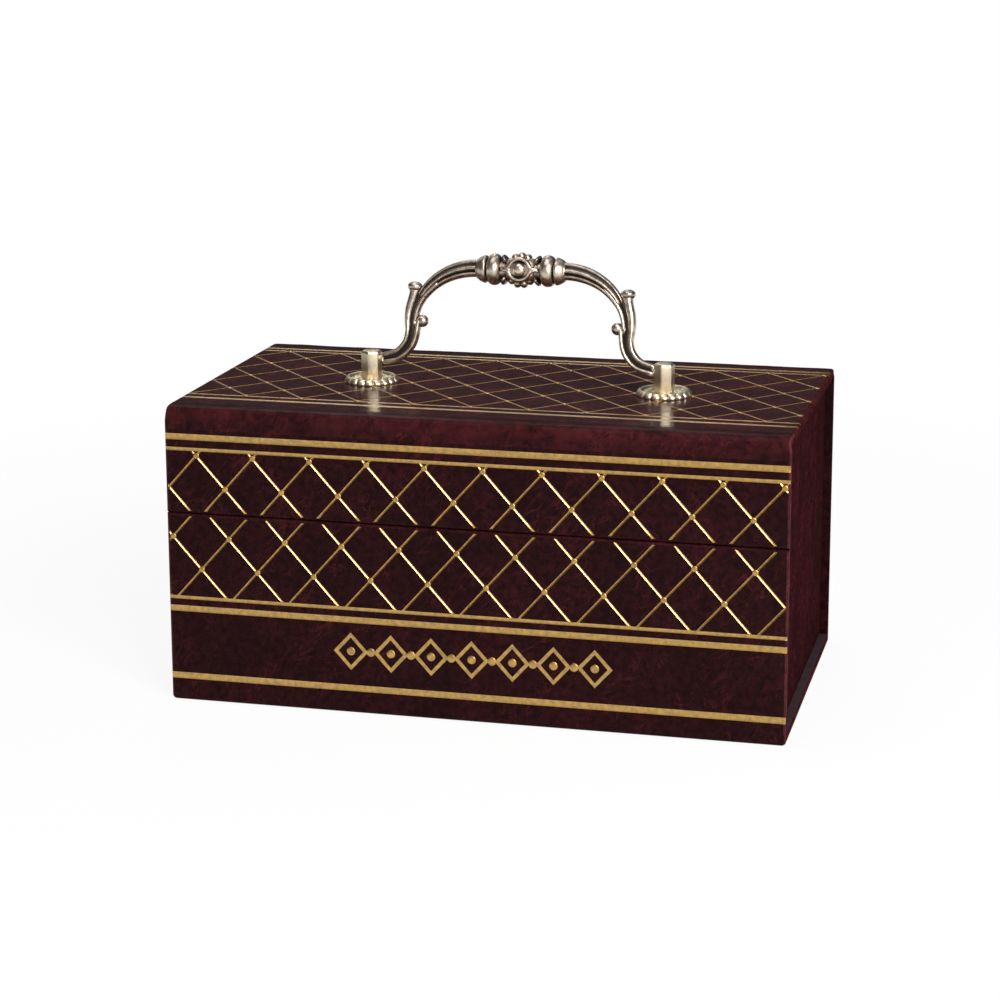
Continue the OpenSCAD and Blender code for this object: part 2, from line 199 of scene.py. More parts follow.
class StageSettings(bpy.types.PropertyGroup):
    """Camera and light"""

    camera_place: FloatVectorProperty(
        name="Camera",
        description="Where the camera stands",
        default=(184.75 * MM, -761.3 * MM, 255.86 * MM),
        subtype="TRANSLATION",
        unit="LENGTH",
    )
    yaw: angle("Yaw", "How far the camera looks to the left of straight on", 13.88)
    pitch: angle("Pitch", "How far the camera looks down", 12.153)
    roll: angle("Roll", "How far the camera tips", -0.18)
    lens: number("Lens", "Focal length in millimetres on a 36 mm frame", 93.323)
    shift: number("Shift", "How far the frame lies above the lens's axis", -0.1)
    world_level: number("Surroundings", "Level of the light all round", 0.05)


# Meshes

def add_object(name, mesh):
    """Links a new object, at the origin, for a mesh whose place is in its points."""
    made = bpy.data.objects.new(name, mesh)
    bpy.context.scene.collection.objects.link(made)
    return made


def set_smooth(bm, degrees=38):
    """Shades every face smooth, but keeps edges that turn by more than the angle sharp."""
    limit = math.radians(degrees)
    for face in bm.faces:
        face.smooth = True
    for edge in bm.edges:
        edge.smooth = len(edge.link_faces) != 2 or edge.calc_face_angle(0) < limit


def finish_mesh(bm, name, *materials, place=None, degrees=38):
    """Turns a bmesh into an object with these materials, moved to its place."""
    if place is not None:
        bm.transform(place)
    bm.normal_update()
    set_smooth(bm, degrees)
    mesh = bpy.data.meshes.new(name)
    bm.to_mesh(mesh)
    bm.free()
    for material in materials:
        mesh.materials.append(material)
    return add_object(name, mesh)


def lathe(bm, outline, place, segments=48):
    """Turns an outline of (radius, height) about the Z axis of its place; ends on the axis close it."""
    rings = []
    for radius, height in outline:
        if radius < TINY:
            rings.append([bm.verts.new(place @ Vector((0, 0, height)))])
            continue
        turns = [2 * math.pi * k / segments for k in range(segments)]
        spots = [Vector((radius * math.cos(t), radius * math.sin(t), height)) for t in turns]
        rings.append([bm.verts.new(place @ spot) for spot in spots])
    for below, above in zip(rings, rings[1:]):
        for k in range(segments):
            corners = ((below, k), (below, k + 1), (above, k + 1), (above, k))
            unique = list(dict.fromkeys(ring[j % len(ring)] for ring, j in corners))
            if len(unique) > 2:
                bm.faces.new(unique)
    return bm


def loft(bm, rings):
    """Joins closed rings of the same number of new points with faces and returns the rings' corners."""
    made = [[bm.verts.new(point) for point in ring] for ring in rings]
    for here, there in zip(made, made[1:]):
        for k in range(len(here)):
            n = (k + 1) % len(here)
            bm.faces.new((here[k], here[n], there[n], there[k]))
    return made


def close_and_turn_out(bm):
    """Merges doubled points and points every face outwards."""
    bmesh.ops.remove_doubles(bm, verts=bm.verts, dist=WELD)
    bmesh.ops.recalc_face_normals(bm, faces=bm.faces)
    return bm


def smooth_curve(points, per_span=6):
    """Points of a Catmull-Rom curve through the given points, which may be of any dimension."""
    points = [Vector(p) for p in points]
    ends = [points[0] * 2 - points[1], *points, points[-1] * 2 - points[-2]]
    made = []
    for a, b, c, d in zip(ends, ends[1:], ends[2:], ends[3:]):
        for step in range(per_span):
            t = step / per_span
            square = (a * 2 - b * 5 + c * 4 - d) * t**2
            cube = (b * 3 - a - c * 3 + d) * t**3
            made.append((b * 2 + (c - a) * t + square + cube) / 2)
    return made + [points[-1]]


def join_pieces(name, pieces):
    """Makes one object of several plain meshes, keeping their materials."""
    bm = bmesh.new()
    materials = []
    for piece in pieces:
        start = len(bm.faces)
        bm.from_mesh(piece.data)
        bm.faces.ensure_lookup_table()
        for face in bm.faces[start:]:
            material = piece.data.materials[face.material_index]
            if material not in materials:
                materials.append(material)
            face.material_index = materials.index(material)
    for piece in pieces:
        mesh = piece.data
        bpy.data.objects.remove(piece)
        bpy.data.meshes.remove(mesh)
    mesh = bpy.data.meshes.new(name)
    bm.to_mesh(mesh)
    bm.free()
    for material in materials:
        mesh.materials.append(material)
    return add_object(name, mesh)


# Geometry Nodes

def add_node(tree, kind, values=None, **settings):
    """Adds a node to a tree, with settings on the node and values on its input sockets."""
    made = tree.nodes.new(kind)
    for setting, value in settings.items():
        setattr(made, setting, value)
    for socket, value in (values or {}).items():
        made.inputs[socket].default_value = value
    return made


def wire(tree, *links):
    """Links nodes: each link names a node, its output, another node and that node's input."""
    for source, output, target, socket in links:
        tree.links.new(source.outputs[output], target.inputs[socket])


def geometry_tree(name, **inputs):
    """A geometry tree with these named inputs, given as socket types, and its two end nodes."""
    tree = bpy.data.node_groups.new(name, "GeometryNodeTree")
    tree.interface.new_socket("Geometry", in_out="INPUT", socket_type="NodeSocketGeometry")
    for label, kind in inputs.items():
        tree.interface.new_socket(label, in_out="INPUT", socket_type="NodeSocket" + kind)
    tree.interface.new_socket("Geometry", in_out="OUTPUT", socket_type="NodeSocketGeometry")
    return tree, tree.nodes.new("NodeGroupInput"), tree.nodes.new("NodeGroupOutput")


def end_tree(tree, given, out, geometry, smooth=True):
    """Ends a tree in Realize Instances, a shading node and Set Material."""
    realized = add_node(tree, "GeometryNodeRealizeInstances")
    shaded = add_node(tree, "GeometryNodeSetShadeSmooth", {"Shade Smooth": smooth})
    painted = add_node(tree, "GeometryNodeSetMaterial")
    tree.links.new(geometry, realized.inputs["Geometry"])
    wire(
        tree,
        (realized, "Geometry", shaded, "Geometry"),
        (shaded, "Geometry", painted, "Geometry"),
        (given, "Material", painted, "Material"),
        (painted, "Geometry", out, "Geometry"),
    )


def grow(name, tree, points=(), edges=(), place=None, **values):
    """Runs a tree on points and edges and returns its result as an object with a plain mesh."""
    seed = bpy.data.meshes.new(name + "_seed")
    seed.from_pydata([tuple(p) for p in points], list(edges), [])
    host = add_object(name + "_host", seed)
    modifier = host.modifiers.new("Grow", "NODES")
    modifier.node_group = tree
    for item in tree.interface.items_tree:
        if item.in_out == "INPUT" and item.name in values:
            modifier[item.identifier] = values[item.name]
    shown = host.evaluated_get(bpy.context.evaluated_depsgraph_get())
    mesh = bpy.data.meshes.new_from_object(shown)
    bpy.data.objects.remove(host)
    bpy.data.meshes.remove(seed)
    if not mesh.polygons:
        raise RuntimeError(f"{name}: the tree {tree.name} made no faces")
    if place is not None:
        mesh.transform(place)
    mesh.name = name
    return add_object(name, mesh)


def dots_tree():
    """A flat round dot of foil on every point."""
    tree, given, out = geometry_tree("Foil dots", Radius="Float", Height="Float", Material="Material")
    ball = add_node(tree, "GeometryNodeMeshUVSphere", {"Segments": 12, "Rings": 6, "Radius": 1})
    size = add_node(tree, "ShaderNodeCombineXYZ")
    spread = add_node(tree, "GeometryNodeInstanceOnPoints")
    wire(
        tree,
        (given, "Radius", size, "X"),
        (given, "Radius", size, "Y"),
        (given, "Height", size, "Z"),
        (given, "Geometry", spread, "Points"),
        (ball, "Mesh", spread, "Instance"),
        (size, "Vector", spread, "Scale"),
    )
    end_tree(tree, given, out, spread.outputs["Instances"])
    return tree


def lobes_tree():
    """A ring of rounded lobes, each turned to point away from the middle."""
    tree, given, out = geometry_tree(
        "Ring of lobes", Count="Int", Radius="Float", Size="Vector", Material="Material"
    )
    ring = add_node(tree, "GeometryNodeMeshCircle")
    ball = add_node(tree, "GeometryNodeMeshUVSphere", {"Segments": 16, "Rings": 10, "Radius": 1})
    where = add_node(tree, "GeometryNodeInputPosition")
    turn = add_node(tree, "FunctionNodeAlignRotationToVector", axis="X", pivot_axis="Z")
    spread = add_node(tree, "GeometryNodeInstanceOnPoints")
    wire(
        tree,
        (given, "Count", ring, "Vertices"),
        (given, "Radius", ring, "Radius"),
        (where, "Position", turn, "Vector"),
        (ring, "Mesh", spread, "Points"),
        (ball, "Mesh", spread, "Instance"),
        (turn, "Rotation", spread, "Rotation"),
        (given, "Size", spread, "Scale"),
    )
    end_tree(tree, given, out, spread.outputs["Instances"])
    return tree


def lozenge_tree():
    """A row of lozenge outlines in foil, centred on the origin along X."""
    tree, given, out = geometry_tree(
        "Row of lozenges",
        Count="Int",
        Step="Float",
        Width="Float",
        Height="Float",
        Stroke="Float",
        Relief="Float",
        Material="Material",
    )
    row = add_node(tree, "GeometryNodeMeshLine", mode="OFFSET")
    gap = add_node(tree, "ShaderNodeCombineXYZ")
    fewer = add_node(tree, "ShaderNodeMath", {1: 1}, operation="SUBTRACT")
    half = add_node(tree, "ShaderNodeMath", {1: -0.5}, operation="MULTIPLY")
    first = add_node(tree, "ShaderNodeMath", operation="MULTIPLY")
    begin = add_node(tree, "ShaderNodeCombineXYZ")
    lozenge = add_node(tree, "GeometryNodeCurvePrimitiveQuadrilateral", mode="KITE")
    half_tall = add_node(tree, "ShaderNodeMath", {1: 0.5}, operation="MULTIPLY")
    stroke = add_node(tree, "GeometryNodeCurvePrimitiveQuadrilateral", mode="RECTANGLE")
    sweep = add_node(tree, "GeometryNodeCurveToMesh", {"Fill Caps": True})
    spread = add_node(tree, "GeometryNodeInstanceOnPoints")
    wire(
        tree,
        (given, "Count", row, "Count"),
        (given, "Step", gap, "X"),
        (gap, "Vector", row, "Offset"),
        (given, "Count", fewer, 0),
        (fewer, "Value", half, 0),
        (half, "Value", first, 0),
        (given, "Step", first, 1),
        (first, "Value", begin, "X"),
        (begin, "Vector", row, "Start Location"),
        (given, "Height", half_tall, 0),
        (given, "Width", lozenge, "Width"),
        (half_tall, "Value", lozenge, "Top Height"),
        (half_tall, "Value", lozenge, "Bottom Height"),
        (given, "Stroke", stroke, "Width"),
        (given, "Relief", stroke, "Height"),
        (lozenge, "Curve", sweep, "Curve"),
        (stroke, "Curve", sweep, "Profile Curve"),
        (row, "Mesh", spread, "Points"),
        (sweep, "Mesh", spread, "Instance"),
    )
    end_tree(tree, given, out, spread.outputs["Instances"], smooth=False)
    return tree


# Materials

def new_material(name):
    """A new material with its tree, its Principled shader and the piece's own coordinates."""
    material = bpy.data.materials.new(name)
    material.use_nodes = True
    tree = material.node_tree
    place = add_node(tree, "ShaderNodeTexCoord").outputs["Object"]
    return material, tree, tree.nodes["Principled BSDF"], place


def scaled(colour, share):
    """A colour made darker or lighter by a share."""
    return [c * share for c in colour]


def mix_colours(tree, factor, first, second):
    """Mixes two colours, each a socket or plain values, by a factor socket."""
    mix = add_node(tree, "ShaderNodeMix", data_type="RGBA")
    for index, colour in ((6, first), (7, second)):
        if isinstance(colour, bpy.types.NodeSocket):
            tree.links.new(colour, mix.inputs[index])
        else:
            mix.inputs[index].default_value = (*colour, 1)
    tree.links.new(factor, mix.inputs[0])
    return mix.outputs[2]


def calculate(tree, operation, first, second):
    """One step of arithmetic on two sockets or plain numbers, held between 0 and 1."""
    step = add_node(tree, "ShaderNodeMath", operation=operation, use_clamp=True)
    for index, value in enumerate((first, second)):
        if isinstance(value, bpy.types.NodeSocket):
            tree.links.new(value, step.inputs[index])
        else:
            step.inputs[index].default_value = value
    return step.outputs[0]


def map_range(tree, value, low, high, to_low=0, to_high=1):
    """Maps a socket's range to another, smoothly and clamped."""
    step = add_node(
        tree,
        "ShaderNodeMapRange",
        {"From Min": low, "From Max": high, "To Min": to_low, "To Max": to_high},
        interpolation_type="SMOOTHSTEP",
    )
    tree.links.new(value, step.inputs["Value"])
    return step.outputs["Result"]


def noise_texture(tree, coordinates, scale, detail=4, roughness=0.55, distortion=0):
    """Noise of a scale per metre on the given coordinates."""
    texture = add_node(
        tree,
        "ShaderNodeTexNoise",
        {"Scale": scale, "Detail": detail, "Roughness": roughness, "Distortion": distortion},
    )
    tree.links.new(coordinates, texture.inputs["Vector"])
    return texture.outputs["Fac"]


def stretched(tree, coordinates, stretch, turn=(0, 0, 0)):
    """The coordinates drawn out along turned axes, so that a pattern on them runs in streaks."""
    values = {"Scale": stretch, "Rotation": turn}
    mapping = add_node(tree, "ShaderNodeMapping", values, vector_type="TEXTURE")
    tree.links.new(coordinates, mapping.inputs["Vector"])
    return mapping.outputs["Vector"]


def add_bump(tree, shader, height, strength, distance, under=None):
    """Adds a bump of a height socket, on top of the normal of another bump, to a shader."""
    bump = add_node(tree, "ShaderNodeBump", {"Strength": strength, "Distance": distance})
    tree.links.new(height, bump.inputs["Height"])
    if under is not None:
        tree.links.new(under, bump.inputs["Normal"])
    wire(tree, (bump, "Normal", shader, "Normal"))
    return bump.outputs["Normal"]


def mottled(tree, pattern, colour, share):
    """A colour that a pattern darkens, in places, to a share of itself."""
    return mix_colours(tree, map_range(tree, pattern, 0.3, 0.7), scaled(colour, share), colour)


def openness(tree, distance):
    """How open a place is: low in recesses, and high where nothing is near."""
    values = {"Distance": distance}
    shade = add_node(tree, "ShaderNodeAmbientOcclusion", values, samples=8, only_local=True)
    return shade.outputs["AO"]


def hair_lines(tree, place, scale, turn):
    """Fine broken lines that run about one way, along the steep places of a drawn out noise."""
    drawn_out = stretched(tree, place, (1, 1, 2.6), turn)
    swirl = noise_texture(tree, drawn_out, scale, detail=2, roughness=0.5, distortion=1.3)
    rising = map_range(tree, swirl, 0.465, 0.5)
    falling = map_range(tree, swirl, 0.535, 0.5)
    gaps = map_range(tree, noise_texture(tree, drawn_out, scale * 0.45, detail=2), 0.48, 0.66)
    return calculate(tree, "MULTIPLY", calculate(tree, "MULTIPLY", rising, falling), gaps)


def leather(name, colours, shine, smooth, tone=1, relief=1):
    """Burgundy leather: mottled, with red clouds and hair-fine streaks; stretched places are redder, and
    the same mark paints a red highlight on rims and folds.
    """
    material, tree, shader, place = new_material(name)
    clouds = noise_texture(tree, place, 46, detail=4, roughness=0.62, distortion=0.5)
    mottle = noise_texture(tree, place, 480, detail=5, roughness=0.68, distortion=0.4)
    hairs = calculate(
        tree, "MAXIMUM",
        hair_lines(tree, place, 230, (0.3, 0.62, 0.5)),
        hair_lines(tree, place, 310, (-0.5, -0.35, -0.9)),
    )
    flecks = map_range(tree, mottle, 0.34, 0.7)
    red = calculate(tree, "MULTIPLY", map_range(tree, clouds, 0.38, 0.7), flecks)
    # This mark is partly stretched leather and partly a painted highlight on rims and folds
    stretch_and_highlight = add_node(tree, "ShaderNodeAttribute", attribute_name="stretch_and_highlight").outputs["Fac"]
    patches = noise_texture(tree, place, 130, detail=5, roughness=0.7, distortion=1.2)
    patchy = map_range(tree, patches, 0.3, 0.7)
    pulled_and_highlit = calculate(tree, "MULTIPLY", stretch_and_highlight, calculate(tree, "MAXIMUM", patchy, hairs))
    # A tone above 1 makes a lighter copy of this same leather: painted light
    dark = scaled(colours.leather_dark, tone)
    middle = scaled(colours.leather_red, tone)
    bright = scaled(colours.leather_hair_and_highlight, tone)
    ground = mix_colours(tree, flecks, scaled(dark, 0.72), scaled(dark, 1.3))
    clouded = mix_colours(tree, red, ground, middle)
    haired = mix_colours(tree, calculate(tree, "MULTIPLY", hairs, 0.45), clouded, bright)
    drawn = mix_colours(tree, pulled_and_highlit, haired, bright)
    tree.links.new(drawn, shader.inputs["Base Color"])
    tree.links.new(map_range(tree, mottle, 0.3, 0.75, smooth, smooth + 0.12), shader.inputs["Roughness"])
    shader.inputs["Specular IOR Level"].default_value = shine
    pores = add_node(tree, "ShaderNodeTexVoronoi", {"Scale": 1350, "Randomness": 0.9}, feature="SMOOTH_F1")
    tree.links.new(place, pores.inputs["Vector"])
    grain = add_bump(tree, shader, pores.outputs["Distance"], 0.2 * relief, 0.00022)
    creased = add_bump(tree, shader, hairs, 0.3 * relief, 0.0001, grain)
    add_bump(tree, shader, mottle, 0.25 * relief, 0.0002, creased)
    return material


def leather_material(colours):
    """The leather of the panels, folds and base."""
    return leather("Burgundy leather", colours, shine=0.03, smooth=0.3)


def polished_material(colours):
    """The lid's leather, rubbed to a gloss that mirrors the handle's feet, and painted 2.4 times lighter
    than the front's leather to stand in for light on the lid.
    """
    return leather("Polished leather", colours, shine=0.09, smooth=0.14, tone=2.4, relief=0.35)


def side_material(colours):
    """The dull leather on the tray and round the boards' edges, painted 1.9 times lighter than the front's
    leather as painted light on the sides.
    """
    return leather("Dull leather", colours, shine=0, smooth=0.6, tone=1.9)


def rim_material(colours):
    """The leather rolled over the ends of the boards, with a faint gloss, painted 2.1 times lighter as a
    painted highlight on the rolled edges.
    """
    return leather("Rolled leather", colours, shine=0.05, smooth=0.4, tone=2.1)


def ledge_sheen_material(colours):
    """The ledge round the tray: a greyish purple with a faint mottle, a painted sheen on its leather, under
    some real gloss.
    """
    material, tree, shader, place = new_material("Glazed paper")
    mottle = noise_texture(tree, place, 300, detail=4)
    tree.links.new(mottled(tree, mottle, colours.ledge_sheen, 0.75), shader.inputs["Base Color"])
    tree.links.new(map_range(tree, mottle, 0.3, 0.7, 0.3, 0.42), shader.inputs["Roughness"])
    return material


def foil_material(colours):
    """Hot-stamped gold foil under a clear skin, with a faint grain and worn places."""
    material, tree, shader, place = new_material("Gold foil")
    wear = noise_texture(tree, place, 620, detail=5, roughness=0.7)
    worn = map_range(tree, wear, 0.32, 0.68)
    tone = mix_colours(tree, worn, scaled(colours.foil, 0.62), scaled(colours.foil, 1.18))
    tree.links.new(tone, shader.inputs["Base Color"])
    tree.links.new(map_range(tree, wear, 0.3, 0.75, 0.5, 0.38), shader.inputs["Roughness"])
    shader.inputs["Metallic"].default_value = 1
    shader.inputs["Coat Weight"].default_value = 1
    shader.inputs["Coat Roughness"].default_value = 0.32
    shader.inputs["Coat IOR"].default_value = 1.85
    add_bump(tree, shader, noise_texture(tree, place, 1500, detail=2), 0.12, 0.0001)
    return material


def antique_material(colours):
    """Antique brass: dark in its recesses, rubbed bright on high places."""
    material, tree, shader, place = new_material("Antique brass")
    shade = openness(tree, 0.0016)
    recess = add_node(tree, "ShaderNodeAttribute", attribute_name="recess").outputs["Fac"]
    blotch = noise_texture(tree, place, 420, detail=5, roughness=0.62)
    open_place = calculate(tree, "SUBTRACT", map_range(tree, shade, 0.2, 0.85), recess)
    middle = [0.42 * h + 0.58 * d for h, d in zip(colours.brass_high, colours.brass_low)]
    worn = mix_colours(tree, map_range(tree, blotch, 0.3, 0.7), middle, colours.brass_high)
    tree.links.new(mix_colours(tree, open_place, colours.brass_low, worn), shader.inputs["Base Color"])
    tree.links.new(map_range(tree, open_place, 0, 1, 0.58, 0.34), shader.inputs["Roughness"])
    shader.inputs["Metallic"].default_value = 1
    add_bump(tree, shader, blotch, 0.25, 0.00015)
    return material


def pale_material(colours):
    """Bright pale brass with faint tarnish in its corners."""
    material, tree, shader, place = new_material("Pale brass")
    shade = openness(tree, 0.0012)
    blotch = noise_texture(tree, place, 500, detail=4)
    pale = colours.brass_pale
    dull = [c * d for c, d in zip(pale, (0.5, 0.46, 0.36))]
    worn = mix_colours(tree, map_range(tree, blotch, 0.25, 0.6), scaled(pale, 0.82), pale)
    tarnished = mix_colours(tree, map_range(tree, shade, 0.3, 0.85), dull, worn)
    tree.links.new(tarnished, shader.inputs["Base Color"])
    tree.links.new(map_range(tree, blotch, 0.3, 0.7, 0.4, 0.33), shader.inputs["Roughness"])
    shader.inputs["Metallic"].default_value = 1
    add_bump(tree, shader, noise_texture(tree, place, 260, detail=3), 0.03, 0.0002)
    return material


def satin_material(colours):
    """Cream satin with a fine weave and a soft sheen."""
    material, tree, shader, place = new_material("Cream satin")
    threads = noise_texture(tree, stretched(tree, place, (1, 8, 8)), 3200, detail=3)
    soft = noise_texture(tree, place, 30, detail=3)
    tone = mottled(tree, soft, colours.satin, 0.9)
    woven = map_range(tree, threads, 0.3, 0.7, 0, 0.3)
    shaded = mix_colours(tree, woven, tone, scaled(colours.satin, 0.78))
    tree.links.new(shaded, shader.inputs["Base Color"])
    tree.links.new(map_range(tree, threads, 0.3, 0.7, 0.34, 0.46), shader.inputs["Roughness"])
    shader.inputs["Sheen Weight"].default_value = 0.35
    shader.inputs["Sheen Roughness"].default_value = 0.4
    add_bump(tree, shader, threads, 0.18, 0.0001)
    return material


def board_material(colours):
    """Grey board with flecks of fibre."""
    material, tree, shader, place = new_material("Grey board")
    fibre = noise_texture(tree, place, 1100, detail=5, roughness=0.7)
    tree.links.new(mottled(tree, fibre, colours.board, 0.75), shader.inputs["Base Color"])
    shader.inputs["Roughness"].default_value = 0.9
    add_bump(tree, shader, fibre, 0.2, 0.0002)
    return material


def steel_material(colours):
    """Plated steel, lightly brushed."""
    material, tree, shader, place = new_material("Plated steel")
    brushed = noise_texture(tree, stretched(tree, place, (1, 12, 3)), 1800, detail=3)
    tree.links.new(mottled(tree, brushed, colours.steel, 0.8), shader.inputs["Base Color"])
    tree.links.new(map_range(tree, brushed, 0.3, 0.7, 0.25, 0.4), shader.inputs["Roughness"])
    shader.inputs["Metallic"].default_value = 1
    return material


MATERIAL_MAKERS = {
    "leatherette": leather_material,
    "polished": polished_material,
    "side": side_material,
    "rim": rim_material,
    "ledge_sheen": ledge_sheen_material,
    "foil": foil_material,
    "antique_brass": antique_material,
    "bright_brass": pale_material,
    "satin": satin_material,
    "greyboard": board_material,
    "steel": steel_material,
}
MATERIALS = {}


def finish_of(name):
    """The material of a finish, made when it is first asked for."""
    if name not in MATERIALS:
        MATERIALS[name] = MATERIAL_MAKERS[name](bpy.context.scene.etrog_colours)
    return MATERIALS[name]


def paint_nodes(finish, *nodes):
    """Gives CAD nodes, whose shapes stay, a finish."""
    for node in nodes:
        slots = frame["nodes"][node].data.materials
        slots.clear()
        slots.append(finish_of(finish))


# Tooled leather panels

# Places of a panel's finishes in its list of materials, of which the face's own comes first
ON_FOIL, ON_RIM, ON_END = 1, 2, 3

# How far the leather is reddened on a rolled rim and on a wall: partly drawn leather, partly a painted
# highlight, strongest on rims that face up or to an end
RIM_STRETCH_AND_HIGHLIGHT = 0.4
WALL_STRETCH_AND_HIGHLIGHT = 0.15


class Lattice:
    """Diamond lattice on a face: its lines cross at the start and at every half step from it."""

    def __init__(self, start_u, start_v, tooling):
        self.start_u = start_u * MM
        self.start_v = start_v * MM
        self.half_u = tooling.lattice_pitch / 2
        self.half_v = tooling.row_step
        self.reach = 1 / math.hypot(1 / self.half_u, 1 / self.half_v)

    def slants(self, u, v):
        """The two slanting coordinates of a point; a line runs at each even number."""
        across = (u - self.start_u) / self.half_u
        up = (v - self.start_v) / self.half_v
        return across + up, across - up

    def point(self, first, second):
        """The face point with these slanting coordinates."""
        return (
            self.start_u + self.half_u * (first + second) / 2,
            self.start_v + self.half_v * (first - second) / 2,
        )

    def distance(self, u, v):
        """How far a point is from the nearest line."""
        return min(abs(s - 2 * round(s / 2)) for s in self.slants(u, v)) * self.reach

    def cuts(self, low, high, offsets):
        """Slanting coordinates from low to high at every line's offsets and half way between lines."""
        made = []
        for line in range(2 * math.floor(low / 2) - 2, 2 * math.ceil(high / 2) + 3, 2):
            made += [line + offset / self.reach for offset in offsets] + [line + 1]
        return made

    def spans(self, low, high):
        """The least and the greatest of each slanting coordinate in a rectangle."""
        ends = [self.slants(u, v) for u in (low[0], high[0]) for v in (low[1], high[1])]
        return [(min(e[k] for e in ends), max(e[k] for e in ends)) for k in (0, 1)]

    def crossings(self, low, high):
        """The face points inside a rectangle where lines cross."""
        spans = self.spans(low, high)
        ranges = [range(math.floor(least / 2), math.ceil(most / 2) + 1) for least, most in spans]
        points = [self.point(2 * i, 2 * j) for i in ranges[0] for j in ranges[1]]
        return [(u, v) for u, v in points if low[0] < u < high[0] and low[1] < v < high[1]]


class TooledFace:
    """A flat rectangle of leather with a lattice between two heights and bars of foil across it."""

    # Leather beside a line or a bar that the tool draws down, and the width of a bar's slope
    lip = 0.15 * MM
    slope = 0.5 * MM

    def __init__(self, low, high, lattice, zone, bars, press, hollow, tooling):
        self.low = low
        self.high = high
        self.lattice = lattice
        self.zone = [height * MM for height in zone]
        self.bars = [(middle * MM, width / 2 * MM) for middle, width in bars]
        self.press = press * MM
        self.hollow = hollow * MM
        self.half_line = tooling.line_width / 2
        self.tooling = tooling

    def in_zone(self, v, room=TINY):
        """Whether a height lies where the lattice runs."""
        return self.zone[0] - room <= v <= self.zone[1] + room

    def sink(self, u, v):
        """How deep the tooling presses the face in at a point."""
        deep = 0
        if self.in_zone(v):
            share = self.lattice.distance(u, v) / self.half_line
            deep = self.tooling.line_depth * max(1 - share, 0)
        for middle, half in self.bars:
            rise = (abs(v - middle) - half + self.lip) / self.slope
            rise = min(max(rise, 0), 1)
            deep = max(deep, self.press * (1 - rise * rise * (3 - 2 * rise)))
            deep += self.hollow * max(1 - ((v - middle) / half) ** 2, 0)
        return deep

    def on_bar(self, v):
        """Whether a height lies on a bar."""
        return any(abs(v - middle) < half for middle, half in self.bars)

    def gilt(self, u, v):
        """Whether a point of the face carries foil."""
        return self.on_bar(v) or (self.in_zone(v) and self.lattice.distance(u, v) < self.half_line)

    def flat_mesh(self):
        """The face cut along the lattice and the bars, still flat."""
        half = self.half_line
        steps = [0, half / 2, half, half + self.lip]
        offsets = [-step for step in reversed(steps[1:])] + steps
        spans = self.lattice.spans(self.low, self.high)
        first, second = (self.lattice.cuts(least, most, offsets) for least, most in spans)
        bm = bmesh.new()
        made = {}

        def corner(i, j):
            if (i, j) not in made:
                made[i, j] = bm.verts.new((*self.lattice.point(first[i], second[j]), 0))
            return made[i, j]

        for i in range(len(first) - 1):
            for j in range(len(second) - 1):
                ring = ((i, j), (i, j + 1), (i + 1, j + 1), (i + 1, j))
                points = [self.lattice.point(first[a], second[b]) for a, b in ring]
                if all(
                    max(p[k] for p in points) > self.low[k] and min(p[k] for p in points) < self.high[k]
                    for k in (0, 1)
                ):
                    bm.faces.new([corner(*key) for key in ring])
        self.trim(bm)
        return bm

    def trim(self, bm):
        """Cuts the face to its rectangle and scores it along the edges of its bars."""
        sides = ((0, self.low, -1), (0, self.high, 1), (1, self.low, -1), (1, self.high, 1))
        for axis, at, outwards in sides:
            spot = Vector((0, 0, 0))
            spot[axis] = at[axis]
            facing = Vector((0, 0, 0))
            facing[axis] = outwards
            bmesh.ops.bisect_plane(
                bm, geom=[*bm.verts, *bm.edges, *bm.faces], dist=TINY, plane_co=spot, plane_no=facing,
                clear_outer=True,
            )
        for middle, half in self.bars:
            for shift in (-half, -half / 2, -half / 4, 0, self.lip, 0.35 * MM):
                for side in (-1, 1) if shift > -half else (1,):
                    bmesh.ops.bisect_plane(
                        bm, geom=[*bm.verts, *bm.edges, *bm.faces], dist=TINY,
                        plane_co=(0, middle + side * (half + shift), 0), plane_no=(0, 1, 0),
                    )

    def tooled_mesh(self):
        """The face with its tooling pressed in and its foil marked."""
        bm = self.flat_mesh()
        for face in bm.faces:
            centre = face.calc_center_median()
            face.material_index = int(self.gilt(centre.x, centre.y))
        for vert in bm.verts:
            vert.co.z = -self.sink(vert.co.x, vert.co.y)
        return bm


def border_ring(bm):
    """The points of a face's border in order."""
    following = {}
    for edge in bm.edges:
        if len(edge.link_faces) == 1:
            loop = edge.link_loops[0]
            following[loop.vert] = loop.link_loop_next.vert
    start = next(iter(following))
    ring = []
    here = start
    while True:
        ring.append(here)
        here = following[here]
        if here is start:
            return ring


